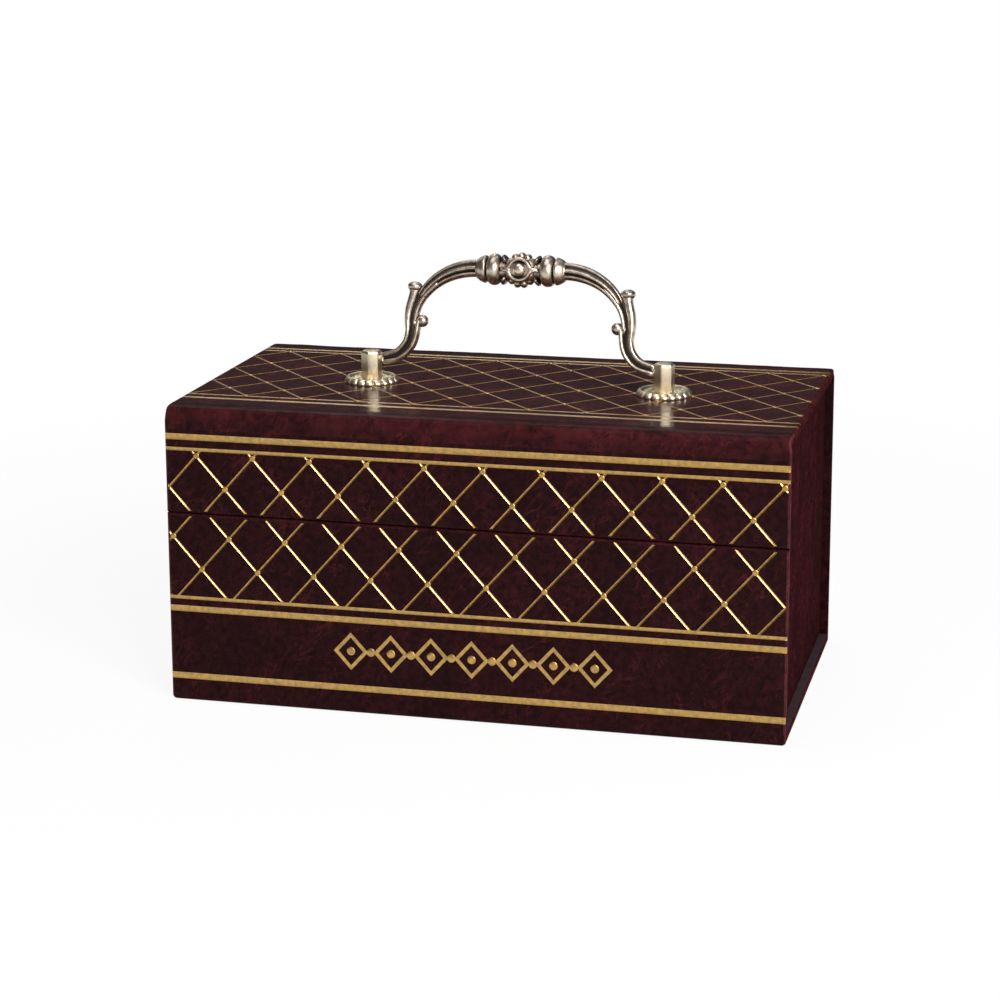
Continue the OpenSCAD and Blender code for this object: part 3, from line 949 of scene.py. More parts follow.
def roll_edges(bm, face, rounded, depth, steps=5):
    """Rolls a face's border round its rounded sides, carries it down as a wall and closes the back."""
    radius = face.tooling.edge_radius
    stretch_and_highlight = bm.verts.layers.float.new("stretch_and_highlight")
    current = border_ring(bm)
    starts = [vert.co.copy() for vert in current]
    ways = []
    for start in starts:
        way = Vector((0, 0))
        for axis in (0, 1):
            if abs(start[axis] - face.low[axis]) < WELD and rounded[axis][0]:
                way[axis] = -1
            if abs(start[axis] - face.high[axis]) < WELD and rounded[axis][1]:
                way[axis] = 1
        ways.append(way)
    levels = [math.pi / 2 * (k + 1) / steps for k in range(steps)] + [None]
    for step, turn in enumerate(levels):
        made = []
        for start, way in zip(starts, ways):
            out = radius if turn is None else radius * math.sin(turn)
            sunk = -start.z * (1 if turn is None else math.cos(turn))
            drop = depth if turn is None else radius * (1 - math.cos(turn)) + sunk
            vert = bm.verts.new((start.x + way.x * out, start.y + way.y * out, -drop))
            if way.length > 0:
                # Rims facing up or to an end take the stronger painted highlight; lower rims and walls take
                # less
                vert[stretch_and_highlight] = RIM_STRETCH_AND_HIGHLIGHT if turn is not None and (way.x or way.y > 0) else WALL_STRETCH_AND_HIGHLIGHT
            made.append(vert)
        for k in range(len(made)):
            n = (k + 1) % len(made)
            side = bm.faces.new((current[n], current[k], made[k], made[n]))
            if step < 3 and face.on_bar((starts[k].y + starts[n].y) / 2):
                side.material_index = ON_FOIL
            elif ways[k].x and ways[n].x:
                side.material_index = ON_END if turn is None else ON_RIM
        current = made
    bm.faces.new(list(reversed(current)))
    return bm


def tooled_panel(name, face, place, rounded, depth, finish="leatherette", rim="rim"):
    """A leather-covered board: a tooled face, edges rolled over, walls and a back."""
    bm = face.tooled_mesh()
    roll_edges(bm, face, rounded, depth)
    # The rim and end finishes are lighter copies of the leather: a painted highlight and painted light
    finishes = [finish_of(word) for word in (finish, "foil", rim, "side")]
    return finish_mesh(bm, name, *finishes, place=place, degrees=30)


def foil_dots(name, face, place):
    """The dots of foil at the crossings of a face's lattice."""
    room = 0.4 * MM
    low = (face.low[0] + room, max(face.low[1] + room, face.zone[0] - room))
    high = (face.high[0] - room, min(face.high[1] - room, face.zone[1] + room))
    points = [(u, v, 0) for u, v in face.lattice.crossings(low, high)]
    return grow(
        name, dots_tree(), points, place=place,
        Radius=face.tooling.dot_radius, Height=face.tooling.dot_height, Material=finish_of("foil"),
    )


def dress(piece, body, slot, *nodes):
    """Rides a piece on a body and lets it stand for CAD nodes; its slot is given but not used."""
    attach(piece, body)
    if nodes:
        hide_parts(*nodes)
    return piece


def cover_panel(word, body, face, place, rounded, depth, **finishes):
    """Dresses a panel in tooled leather and foil dots, in place of its CAD cover."""
    panel = tooled_panel(word + "_leather", face, place, rounded, depth, **finishes)
    dress(panel, body, "leatherette", word + "_cover")
    dress(foil_dots(word + "_foil_dots", face, place), body, "leatherette")


class ETROG_OT_lid_panel(bpy.types.Operator):
    """Makes the lid's tooled leather and its foil dots"""

    bl_idname = "etrog.lid_panel"
    bl_label = "Lid panel"

    def execute(self, context):
        tooling = context.scene.etrog_tooling
        edge = tooling.edge_radius
        face = TooledFace(
            (-HALF_W + edge, LID_LOW.y + tooling.fold_lead),
            (HALF_W - edge, LID_HIGH.y - tooling.fold_lead),
            Lattice(-4.65, -31.27, tooling),
            zone=(-31.7, 37.9),
            bars=((-37.1, 1.9), (-32.2, 1.05), (38.4, 1.05), (42.05, 1.9)),
            press=0,
            hollow=0.14,
            tooling=tooling,
        )
        depth = TOP_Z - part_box("lid_lining")[1].z + LINING_LAP
        rounded = ((True, True), (False, False))
        cover_panel("lid", "lid", face, ON_TOP, rounded, depth, finish="polished", rim="side")
        return {"FINISHED"}


class ETROG_OT_flap_panel(bpy.types.Operator):
    """Makes the flap's tooled leather and its foil dots"""

    bl_idname = "etrog.flap_panel"
    bl_label = "Flap panel"

    def execute(self, context):
        tooling = context.scene.etrog_tooling
        edge = tooling.edge_radius
        face = TooledFace(
            (-HALF_W + edge, FLAP_LOW.z + edge),
            (HALF_W - edge, FLAP_HIGH.z - tooling.fold_lead),
            Lattice(4.16, 76.88, tooling),
            zone=(0, 78.2),
            bars=((82.47, 1.88), (78.72, 1.05)),
            press=0.16,
            hollow=0.04,
            tooling=tooling,
        )
        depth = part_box("flap_lining")[0].y - FRONT_Y + LINING_LAP
        cover_panel("flap", "flap", face, ON_FRONT, ((True, True), (True, False)), depth)
        return {"FINISHED"}


class ETROG_OT_front_panel(bpy.types.Operator):
    """Makes the lower front panel's tooled leather, its dots and its row of lozenges"""

    bl_idname = "etrog.front_panel"
    bl_label = "Lower front panel"

    def execute(self, context):
        tooling = context.scene.etrog_tooling
        edge = tooling.edge_radius
        face = TooledFace(
            (-HALF_W + edge, tooling.base_radius + tooling.fold_lead),
            (HALF_W - edge, PANEL_HIGH.z - edge),
            Lattice(-3.85, 51.62, tooling),
            zone=(32.9, 100),
            bars=((32.58, 1.05), (29.12, 1.88), (7.85, 1.98)),
            press=0.16,
            hollow=0.04,
            tooling=tooling,
        )
        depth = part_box("front_board")[1].y - FRONT_Y + LAP
        cover_panel("front_panel", "base", face, ON_FRONT, ((True, True), (False, True)), depth)
        self.lozenges(context.scene.etrog_ornament)
        return {"FINISHED"}

    def lozenges(self, sizes):
        """The row of lozenges, each with a dot in it and a dot between it and the next."""
        place = ON_FRONT @ Matrix.Translation((0.5 * MM, sizes.middle, 0))
        outlines = grow(
            "lozenge_outlines", lozenge_tree(), [(0, 0, 0)], place=place,
            Count=sizes.count, Step=sizes.step, Width=sizes.width, Height=sizes.height,
            Stroke=sizes.stroke, Relief=sizes.relief, Material=finish_of("foil"),
        )
        first = -(sizes.count - 1) / 2
        points = [((first + k / 2) * sizes.step, 0, 0) for k in range(2 * sizes.count - 1)]
        dots = grow(
            "lozenge_dots", dots_tree(), points, place=place,
            Radius=sizes.dot_radius, Height=sizes.dot_height, Material=finish_of("foil"),
        )
        dress(join_pieces("front_panel_lozenges", [outlines, dots]), "base", "leatherette")


# Folds and plain leather

def sweep_strip(name, outer_rows, inner_rows):
    """A closed strip between rows of outer and inner points, one row for each station along X."""
    bm = bmesh.new()
    stretch_and_highlight = bm.verts.layers.float.new("stretch_and_highlight")
    rings = []
    for outer, inner in zip(outer_rows, inner_rows):
        ring = []
        for point, drawn in outer:
            vert = bm.verts.new(point)
            vert[stretch_and_highlight] = drawn
            ring.append(vert)
        ring += [bm.verts.new(point) for point in reversed(inner)]
        rings.append(ring)
    count = len(rings[0])
    for here, there in zip(rings, rings[1:]):
        for k in range(count):
            bm.faces.new((here[k], here[(k + 1) % count], there[(k + 1) % count], there[k]))
    half = count // 2
    for ring in (rings[0], rings[-1]):
        for k in range(half - 1):
            bm.faces.new((ring[k], ring[k + 1], ring[count - 2 - k], ring[count - 1 - k]))
    bmesh.ops.dissolve_degenerate(bm, dist=TINY, edges=bm.edges)
    close_and_turn_out(bm)
    strip = finish_mesh(bm, name, *(finish_of(word) for word in ("leatherette", "rim", "side")))
    # Ends take the lighter side copy and their rounding the rim copy: painted light and a painted highlight
    for polygon in strip.data.polygons:
        polygon.material_index = sum(abs(polygon.normal.x) > limit for limit in (0.3, 0.97))
    return strip


def rounded_places(radius, spans):
    """Places along the box, from end to end and closer together within a radius of its ends."""
    ends = [HALF_W - radius * (1 - math.sin(math.pi / 2 * k / 10)) for k in range(11)]
    middles = [(HALF_W - radius) * (2 * k / spans - 1) for k in range(1, spans)]
    return [-x for x in reversed(ends)] + middles + ends


def end_inset(x, radius):
    """How far a surface draws back at a place along the box to round the box's end."""
    past = max(abs(x) - HALF_W + radius, 0)
    return radius - math.sqrt(max(radius * radius - past * past, 0))


def fold_line(side, centre_y, centre_z, radius, lead, square):
    """A fold's outline across the box: points, the way each faces and its share of the bend."""
    up = []
    bend = []
    along = []
    for k in range(3):
        below = Vector((centre_y + side * radius, centre_z - lead * (1 - k / 3)))
        inwards = Vector((centre_y - side * lead * (k + 1) / 3, centre_z + radius))
        up.append((below, Vector((side, 0)), 0))
        along.append((inwards, Vector((0, 1)), 1))
    for k in range(19):
        turn = math.pi / 2 * k / 18
        cos, sin = abs(math.cos(turn)), math.sin(turn)
        reach = radius / (cos**square + sin**square) ** (1 / square)
        facing = Vector((side * cos ** (square - 1), sin ** (square - 1))).normalized()
        bend.append((Vector((centre_y + side * reach * cos, centre_z + reach * sin)), facing, k / 18))
    return up + bend + along


def fold_strip(name, side, centre_y, centre_z, radius, tooling):
    """A leather fold along a long top edge, turned in at its ends and squarer on the left."""
    outer_rows = []
    inner_rows = []
    for along in rounded_places(tooling.edge_radius, 90):
        outer = []
        inner = []
        inset = end_inset(along, tooling.edge_radius)
        turned_in = HALF_W - abs(along) < 0.4 * MM
        thick = tooling.turn_in if turned_in else tooling.fold_thickness
        square = 3.6 - 1.1 * along / HALF_W
        for spot, facing, bend in fold_line(side, centre_y, centre_z, radius, tooling.fold_lead, square):
            arch = math.sin(math.pi * bend)
            x = along * (1 - tooling.fold_pinch * arch**2 / HALF_W)
            ripple = noise.noise(Vector((x * 90, spot.x * 160, spot.y * 160))) * 0.16 * MM * arch
            ripple += noise.noise(Vector((x * 380, spot.x * 300, spot.y * 300))) * 0.05 * MM * arch
            at = spot + facing * (ripple - inset)
            under = spot - facing * thick
            # Reddest along the middle of the bend: stretched leather and a painted highlight where the fold
            # catches light
            outer.append((Vector((x, *at)), 0.42 + 0.4 * arch - 0.15 * bend))
            inner.append(Vector((x, *under)))
        outer_rows.append(outer)
        inner_rows.append(inner)
    return sweep_strip(name, outer_rows, inner_rows)


class ETROG_OT_folds(bpy.types.Operator):
    """Makes the two leather folds that the lid and the flap hinge on"""

    bl_idname = "etrog.folds"
    bl_label = "Hinge folds"

    def execute(self, context):
        tooling = context.scene.etrog_tooling
        front = fold_strip("flap_fold_leather", -1, LID_LOW.y, FLAP_HIGH.z, TOP_Z - FLAP_HIGH.z, tooling)
        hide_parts("flap_hinge_fold")
        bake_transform(front)
        back = fold_strip("lid_fold_leather", 1, LID_HIGH.y, BACK_HIGH.z, TOP_Z - BACK_HIGH.z, tooling)
        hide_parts("lid_hinge_fold")
        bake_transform(back)
        return {"FINISHED"}


class ETROG_OT_base_leather(bpy.types.Operator):
    """Makes the leather under the box and up its back, as one wrap with rounded long edges"""

    bl_idname = "etrog.base_leather"
    bl_label = "Base and back"

    def execute(self, context):
        tooling = context.scene.etrog_tooling
        line = self.outline(tooling)
        back_wall = BACK_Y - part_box("back_board")[0].y + LAP
        front_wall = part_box("front_board")[1].y - FRONT_Y + LAP
        floor = BASE_TOP + LAP
        edge = tooling.edge_radius
        outer_rows = []
        inner_rows = []
        for x in rounded_places(tooling.base_corner, 24):
            outer = []
            for spot, facing in line:
                radius = edge + (tooling.base_corner - edge) * max(-facing.y, 0)
                inset = end_inset(x, radius)
                # Reddened towards the rounded ends, as stretched leather and a painted highlight on the end
                # rims
                outer.append((Vector((x, *(spot - facing * inset))), inset / radius))
            outer_rows.append(outer)
            inner_rows.append([
                Vector((x, min(max(spot.x, FRONT_Y + front_wall), BACK_Y - back_wall), max(spot.y, floor)))
                for spot, facing in line
            ])
        wrap = sweep_strip("base_and_back_leather", outer_rows, inner_rows)
        wrap.data.materials.append(finish_of("ledge_sheen"))
        # Faces that face up, among them the ledge round the tray, take the painted sheen
        for polygon in wrap.data.polygons:
            if polygon.normal.z > 0.9:
                polygon.material_index = 3
        dress(wrap, "base", "leatherette", "base_cover", "back_cover")
        # The tray's sides take the leather's lighter copy, painted light
        paint_nodes("side", "tray_left_skin", "tray_right_skin")
        return {"FINISHED"}

    def outline(self, tooling):
        """Points of the wrap's outer face, with the way each faces, from the front round to the back."""
        round_r = tooling.base_radius
        lead = tooling.fold_lead
        line = [(Vector((FRONT_Y, round_r + lead * (1 - k / 3))), Vector((-1, 0))) for k in range(3)]
        for side, first in ((-1, math.pi), (1, 1.5 * math.pi)):
            centre = Vector((FRONT_Y + round_r if side < 0 else BACK_Y - round_r, round_r))
            for k in range(9):
                turn = first + math.pi / 2 * k / 8
                facing = Vector((math.cos(turn), math.sin(turn)))
                line.append((centre + facing * round_r, facing))
            if side < 0:
                span = BACK_Y - FRONT_Y - 2 * round_r
                places = [FRONT_Y + round_r + span * k / 8 for k in range(1, 8)]
                line += [(Vector((y, 0)), Vector((0, -1))) for y in places]
        top = BACK_HIGH.z - lead
        heights = [round_r + (top - round_r) * (k + 1) / 12 for k in range(12)]
        line += [(Vector((BACK_Y, z)), Vector((1, 0))) for z in heights]
        return line


# Satin inside

def satin_sheet(name, rows, thickness=0.3 * MM):
    """A sheet of satin through rows of points, given its thickness."""
    bm = bmesh.new()
    grid = [[bm.verts.new(point) for point in row] for row in rows]
    for here, there in zip(grid, grid[1:]):
        for k in range(len(here) - 1):
            bm.faces.new((here[k], here[k + 1], there[k + 1], there[k]))
    bmesh.ops.remove_doubles(bm, verts=bm.verts, dist=CLOSE)
    sheet = finish_mesh(bm, name, finish_of("satin"))
    thicken = sheet.modifiers.new("Cloth thickness", "SOLIDIFY")
    thicken.thickness = thickness
    thicken.offset = 0
    return sheet


def pucker(x, y, z, amount):
    """A small uneven rise of glued satin at a point."""
    return noise.noise(Vector((x, y, z)) * 70) * amount + noise.noise(Vector((x, y, z)) * 210) * amount / 3


class ETROG_OT_linings(bpy.types.Operator):
    """Makes the satin linings of the tray, the lid and the flap"""

    bl_idname = "etrog.linings"
    bl_label = "Linings"

    # How far a flat lining stops short of the ends of its CAD solid
    margin = 3.2 * MM

    def execute(self, context):
        self.tray()
        self.flat("lid_lining", "lid", 2, "lid_board")
        self.flat("flap_lining", "flap", 1, "flap_board")
        return {"FINISHED"}

    def flat(self, node, body, thin, board):
        """A lining that lies on a board, thin along one axis, and stops short of its CAD solid's ends; the
        board is given but not used.
        """
        low, high = (corner.copy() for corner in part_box(node))
        low.x += self.margin
        high.x -= self.margin
        other = 3 - thin
        rows = []
        for i in range(31):
            row = []
            for j in range(61):
                point = Vector((0, 0, 0))
                point.x = low.x + (high.x - low.x) * j / 60
                point[other] = low[other] + (high[other] - low[other]) * i / 30
                point[thin] = (low[thin] + high[thin]) / 2
                point[thin] += pucker(*point, 0.04 * MM)
                row.append(point)
            rows.append(row)
        sheet = satin_sheet(node + "_satin", rows, 0.28 * MM)
        dress(sheet, body, "satin", node)

    def tray(self):
        """The lining round the tray's four inner walls, which is one strip of satin."""
        low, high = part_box("tray_lining")
        sag = 0.2 * MM
        corner = 2.5 * MM
        path = []
        for side_x, side_y, first in ((1, 1, 0), (-1, 1, 1), (-1, -1, 2), (1, -1, 3)):
            centre = Vector((side_x * (high.x - sag - corner), side_y * (high.y - sag - corner)))
            for k in range(7):
                turn = math.pi / 2 * (first + k / 6)
                path.append(centre + corner * Vector((math.cos(turn), math.sin(turn))))
        loop = []
        for here, there in zip(path, path[1:] + path[:1]):
            pieces = max(1, round((there - here).length / (3 * MM)))
            loop += [here.lerp(there, k / pieces) for k in range(pieces)]
        loop.append(loop[0])
        bed_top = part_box("etrog_bed")[1].z
        rows = []
        for k in range(29):
            z = low.z + (high.z - low.z) * k / 28
            free = min(max((z - bed_top) / (8 * MM), 0), 1) * min((high.z - z) / (6 * MM), 1)
            rows.append([
                Vector((*(spot * (1 - free * abs(pucker(spot.x, spot.y, z, 0.014)))), z)) for spot in loop
            ])
        sheet = satin_sheet("tray_lining_satin", rows)
        dress(sheet, "base", "satin", "tray_lining")


def puff(piece, cap, pressure=4):
    """Swells a closed mesh by a short cloth simulation, with no point moving past the cap."""
    scene = bpy.context.scene
    cloth = piece.modifiers.new("Puff", "CLOTH")
    cloth.settings.use_pressure = True
    cloth.settings.uniform_pressure_force = pressure
    cloth.settings.effector_weights.gravity = 0
    cloth.settings.quality = 6
    cloth.point_cache.frame_start = 1
    cloth.point_cache.frame_end = 20
    for step in range(1, 21):
        scene.frame_set(step)
    shown = piece.evaluated_get(bpy.context.evaluated_depsgraph_get())
    moved = [v.co.copy() for v in shown.data.vertices]
    piece.modifiers.remove(cloth)
    scene.frame_set(1)
    for vert, there in zip(piece.data.vertices, moved):
        shift = there - vert.co
        if shift.length > cap:
            shift *= cap / shift.length
        vert.co += shift


class ETROG_OT_pads(bpy.types.Operator):
    """Makes the padded bed of the tray and the pad under the lid"""

    bl_idname = "etrog.pads"
    bl_label = "Padded bed and lid pad"

    def execute(self, context):
        bed = self.padded("etrog_bed", "padded_bed", "base", 2.2 * MM, crown=(0, 2.4 * MM), tuck=0.9)
        pad = self.padded("lid_pad", "lid_padding", "lid", 1.3 * MM, crown=(2 * MM, 0), tuck=0.6)
        return {"FINISHED"}

    def padded(self, node, name, body, shrink, crown, tuck):
        """A soft form in place of a CAD solid: drawn in, remeshed, swollen and kept within its space."""
        low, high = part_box(node)
        mesh = frame["nodes"][node].data.copy()
        mesh.name = name
        mesh.materials.clear()
        piece = add_object(name, mesh)
        bm = bmesh.new()
        bm.from_mesh(mesh)
        bmesh.ops.remove_doubles(bm, verts=bm.verts, dist=CLOSE)
        centre = (low + high) / 2
        size = high - low
        for vert in bm.verts:
            for axis in (0, 1, 2):
                share = 1 - 2 * shrink / size[axis]
                vert.co[axis] = centre[axis] + (vert.co[axis] - centre[axis]) * share
        bm.to_mesh(mesh)
        bm.free()
        remesh = piece.modifiers.new("Remesh", "REMESH")
        remesh.mode = "VOXEL"
        remesh.voxel_size = 4 * MM if size.z > 10 * MM else 2 * MM
        shown = piece.evaluated_get(bpy.context.evaluated_depsgraph_get())
        piece.data = bpy.data.meshes.new_from_object(shown)
        piece.modifiers.clear()
        puff(piece, cap=3.2 * MM)
        self.soften(piece, low, high, crown, tuck)
        for polygon in piece.data.polygons:
            polygon.use_smooth = True
        piece.data.materials.clear()
        piece.data.materials.append(finish_of("satin"))
        rounder = piece.modifiers.new("Round", "SUBSURF")
        rounder.levels = 1
        rounder.render_levels = 1
        return dress(piece, body, "satin", node)

    def soften(self, piece, low, high, crown, tuck):
        """Adds the satin's small gathers and keeps the form within its space, but for its crown."""
        bottom = low - Vector((0, 0, crown[0]))
        top = high + Vector((0, 0, crown[1]))
        normals = [v.normal.copy() for v in piece.data.vertices]
        for vert, facing in zip(piece.data.vertices, normals):
            spot = vert.co
            gather = noise.noise(Vector((spot.x * 140, spot.y * 140, spot.z * 40))) * tuck * MM
            vert.co = spot + facing * gather * 0.6
            for axis in (0, 1, 2):
                vert.co[axis] = min(max(vert.co[axis], bottom[axis]), top[axis])


class ETROG_OT_carcass(bpy.types.Operator):
    """Covers the boards and the tray, and finishes the hidden steel; their shapes stay"""

    bl_idname = "etrog.carcass"
    bl_label = "Boards and steel"

    def execute(self, context):
        paint_nodes("greyboard", "base_board", "front_board", "tray_floor")
        # Boards' ends and the tray's walls take the leather's lighter copy, painted light
        paint_nodes("side", "back_board", "lid_board", "flap_board")
        paint_nodes("side", "tray_left_wall", "tray_right_wall", "tray_front_wall", "tray_back_wall")
        paint_nodes("steel", "keeper_discs", "flap_magnets", "handle_screws", "screw_washers")
        return {"FINISHED"}


# Handle

# A rosette's outline from its middle to its foot, in millimetres: radius, height, notch and petal relief
ROSETTE_OUTLINE = [
    (2.4, 0.7, 0, 0), (3.3, 0.7, 0, 0), (4, 0.8, 0, 0.3), (4.8, 1, 0, 0.6), (5.6, 1.05, 0, 0.5),
    (6.1, 0.95, 0, 0.2), (6.4, 1.15, 0, 0), (6.7, 1.55, 0.05, 0), (7, 1.8, 0.12, 0), (7.3, 1.88, 0.25, 0),
    (7.6, 1.8, 0.4, 0), (8.1, 1.35, 0.55, 0), (8.45, 0.95, 0.6, 0), (8.6, 0.6, 0.6, 0),
    (8.62, 0.2, 0.6, 0), (8.5, 0, 0.55, 0),
]


def rosette(name, middle, lobes):
    """A scalloped rosette: an upright lobed rim round a dish with petals in relief."""
    rings = []
    count = lobes * 10
    for radius, height, notch, relief in ROSETTE_OUTLINE:
        ring = []
        for k in range(count):
            turn = 2 * math.pi * k / count
            lobe = abs(math.cos(lobes * turn / 2)) ** 0.5
            petal = math.cos(lobes * turn / 2) ** 2 - 0.4
            reach = radius - notch * (1 - lobe)
            spot = Vector((reach * math.cos(turn), reach * math.sin(turn), height + relief * petal))
            ring.append(middle + spot * MM)
        rings.append(ring)
    bm = bmesh.new()
    made = loft(bm, rings)
    bm.faces.new(made[0])
    bm.faces.new(made[-1])
    close_and_turn_out(bm)
    return finish_mesh(bm, name, finish_of("bright_brass"), degrees=50)


def hexagon_post(name, node):
    """A six-sided post, narrowed a little from its CAD form, with a chamfered top and crisp edges."""
    low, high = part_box(node)
    middle = Vector(((low.x + high.x) / 2, (low.y + high.y) / 2, low.z))
    tall = high.z - low.z
    corner = ((high.x - low.x) / 2 - 0.2 * MM) / math.cos(math.pi / 6)
    foot = -1.35 * MM
    outline = [(0, foot), (corner, foot), (corner, tall - 0.5 * MM), (corner - 0.55 * MM, tall), (0, tall)]
    bm = bmesh.new()
    lathe(bm, outline, Matrix.Translation(middle) @ Matrix.Rotation(math.radians(23.5), 4, "Z"), 6)
    close_and_turn_out(bm)
    edges = [e for e in bm.edges if e.calc_face_angle(0) > math.radians(15)]
    bmesh.ops.bevel(bm, geom=edges, offset=0.32 * MM, segments=3, profile=0.5, affect="EDGES")
    return finish_mesh(bm, name, finish_of("bright_brass"), degrees=24)


class ETROG_OT_posts(bpy.types.Operator):
    """Makes the two rosettes and the two six-sided posts"""

    bl_idname = "etrog.posts"
    bl_label = "Rosettes and posts"

    def execute(self, context):
        for side in ("left", "right"):
            low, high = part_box(side + "_rosette")
            middle = Vector(((low.x + high.x) / 2, (low.y + high.y) / 2, low.z))
            made = rosette(side + "_rosette_brass", middle, context.scene.etrog_handle.rosette_lobes)
            dress(made, "lid", "bright_brass", side + "_rosette")
            dress(hexagon_post(side + "_post_brass", side + "_post"), "lid", "bright_brass", side + "_post")
        return {"FINISHED"}


# Lines of the handle's right half, in millimetres: across it, above its pivots, and half width in its plane
ARCH_LINE = [
    (13.2, 29.35, 2.73), (16.5, 29.15, 2.68), (19.5, 28.55, 2.59), (22.3, 27.6, 2.46), (25, 26.2, 2.27),
    (27.4, 24.45, 2.09), (29.4, 22.4, 1.87), (30.9, 20.3, 1.6),
]
HORN_LINE = [
    (33.55, 22.4, 1.82), (33.75, 21.2, 1.55), (33.95, 20.2, 1.42), (34.3, 18.8, 1.39), (34.75, 17.2, 1.34),
    (35.1, 15.5, 1.28), (35.3, 13.5, 1.2), (35.25, 11.5, 1.07), (35.15, 10, 0.94), (35.2, 8.6, 0.86),
    (35.8, 6, 0.81), (37.4, 3.75, 0.81), (39.5, 2.3, 0.81), (42.6, 1.4, 0.83),
]
UPPER_RAIL_LINE = [
    (26.3, 24.1, 0.91), (29.2, 21.35, 0.9), (31.2, 18.5, 0.86), (32.3, 15.8, 0.81), (32.8, 13.6, 0.77),
    (32.95, 12.2, 0.66),
]
LOWER_RAIL_LINE = [
    (31.75, 12.4, 0.91), (32.05, 10.9, 0.86), (32.4, 8.1, 0.83), (33, 5.8, 0.82), (33.9, 4, 0.82),
    (35.75, 1.85, 0.82), (38.4, 0.2, 0.82), (42.4, -0.75, 0.83),
]
WEB_LINE = [
    (30.4, 22.4, 1.3), (32.3, 19.9, 1.2), (33.6, 16.1, 1.2), (34, 12.2, 1.3), (33.9, 8.3, 1.3),
    (34.9, 5, 1.2), (37.9, 2, 1.1), (42.4, 0.35, 1),
]
FOOT_LINE = [(42.55, -0.75, 0.55), (42.85, 0.35, 0.62), (42.6, 1.45, 0.55)]


def round_section(count=22):
    """An arm's section as shares across and through it, with no groove: a squarish round."""
    turns = [2 * math.pi * k / count for k in range(count)]
    return [(math.cos(t), math.copysign(abs(math.sin(t)) ** 0.8, math.sin(t)), 0) for t in turns]


def fluted_section(grooves, depth=0.4, count=30):
    """A flattened round with a groove down both faces at each share across, of a width."""
    section = []
    for face in (1, -1):
        for k in range(count):
            across = -math.cos(math.pi * k / count) * face
            swell = max(1 - across * across, 0) ** 0.33
            dip = max(math.exp(-(((across - at) / width) ** 2)) for at, width in grooves)
            section.append((across, face * swell * (1 - depth * dip), dip))
    return section


def swept_piece(name, line, side, section, thickness, sunk=0):
    """A piece of antique brass swept along a line on the handle's left or right side."""
    curve = smooth_curve(line, 5)
    start = curve[0] + (curve[0] - curve[1]).normalized() * 0.5 * curve[0].z
    end = curve[-1] + (curve[-1] - curve[-2]).normalized() * 0.5 * curve[-1].z
    start.z = curve[0].z * 0.6
    end.z = curve[-1].z * 0.6
    curve = [start, *curve, end]
    rings = []
    for k, spot in enumerate(curve):
        ahead = curve[min(k + 1, len(curve) - 1)] - curve[max(k - 1, 0)]
        out = Vector((-ahead.y, ahead.x)).normalized()
        through = max(thickness / 2, spot.z * MM) * (0.7 if spot is start or spot is end else 1)
        rings.append([
            Vector((side * (spot.x + share * spot.z * out.x) * MM, deep * through,
                    (spot.y + share * spot.z * out.y) * MM))
            for share, deep, _ in section
        ])
    bm = bmesh.new()
    recess = bm.verts.layers.float.new("recess")
    made = loft(bm, rings)
    for ring in made:
        for vert, (_, _, dip) in zip(ring, section):
            vert[recess] = max(dip, sunk)
    bm.faces.new(made[0])
    bm.faces.new(made[-1])
    close_and_turn_out(bm)
    return finish_mesh(bm, name, finish_of("antique_brass"), degrees=55)


def turned_piece(name, outline, place, segments=40):
    """A piece of antique brass turned from an outline of (radius, height) in millimetres."""
    bm = bmesh.new()
    smooth = [(max(p.x, 0) * MM, p.y * MM) for p in smooth_curve(outline, 4)]
    lathe(bm, smooth, place, segments)
    close_and_turn_out(bm)
    return finish_mesh(bm, name, finish_of("antique_brass"), degrees=60)


def on_side(side, across, up, turn):
    """A place on the handle's left or right side, in millimetres, turned about the Y axis."""
    return Matrix.Translation((side * across * MM, 0, up * MM)) @ Matrix.Rotation(side * turn, 4, "Y")


def ball_outline(radius, stalk_radius, stalk):
    """The outline, in millimetres, of a ball on a short waisted stalk below it."""
    made = [(0, -stalk), (stalk_radius * 1.15, -stalk), (stalk_radius, -stalk * 0.62)]
    for k in range(7):
        turn = math.radians(-42 + 132 * k / 6)
        made.append((radius * math.cos(turn) if k < 6 else 0, radius * math.sin(turn)))
    return made


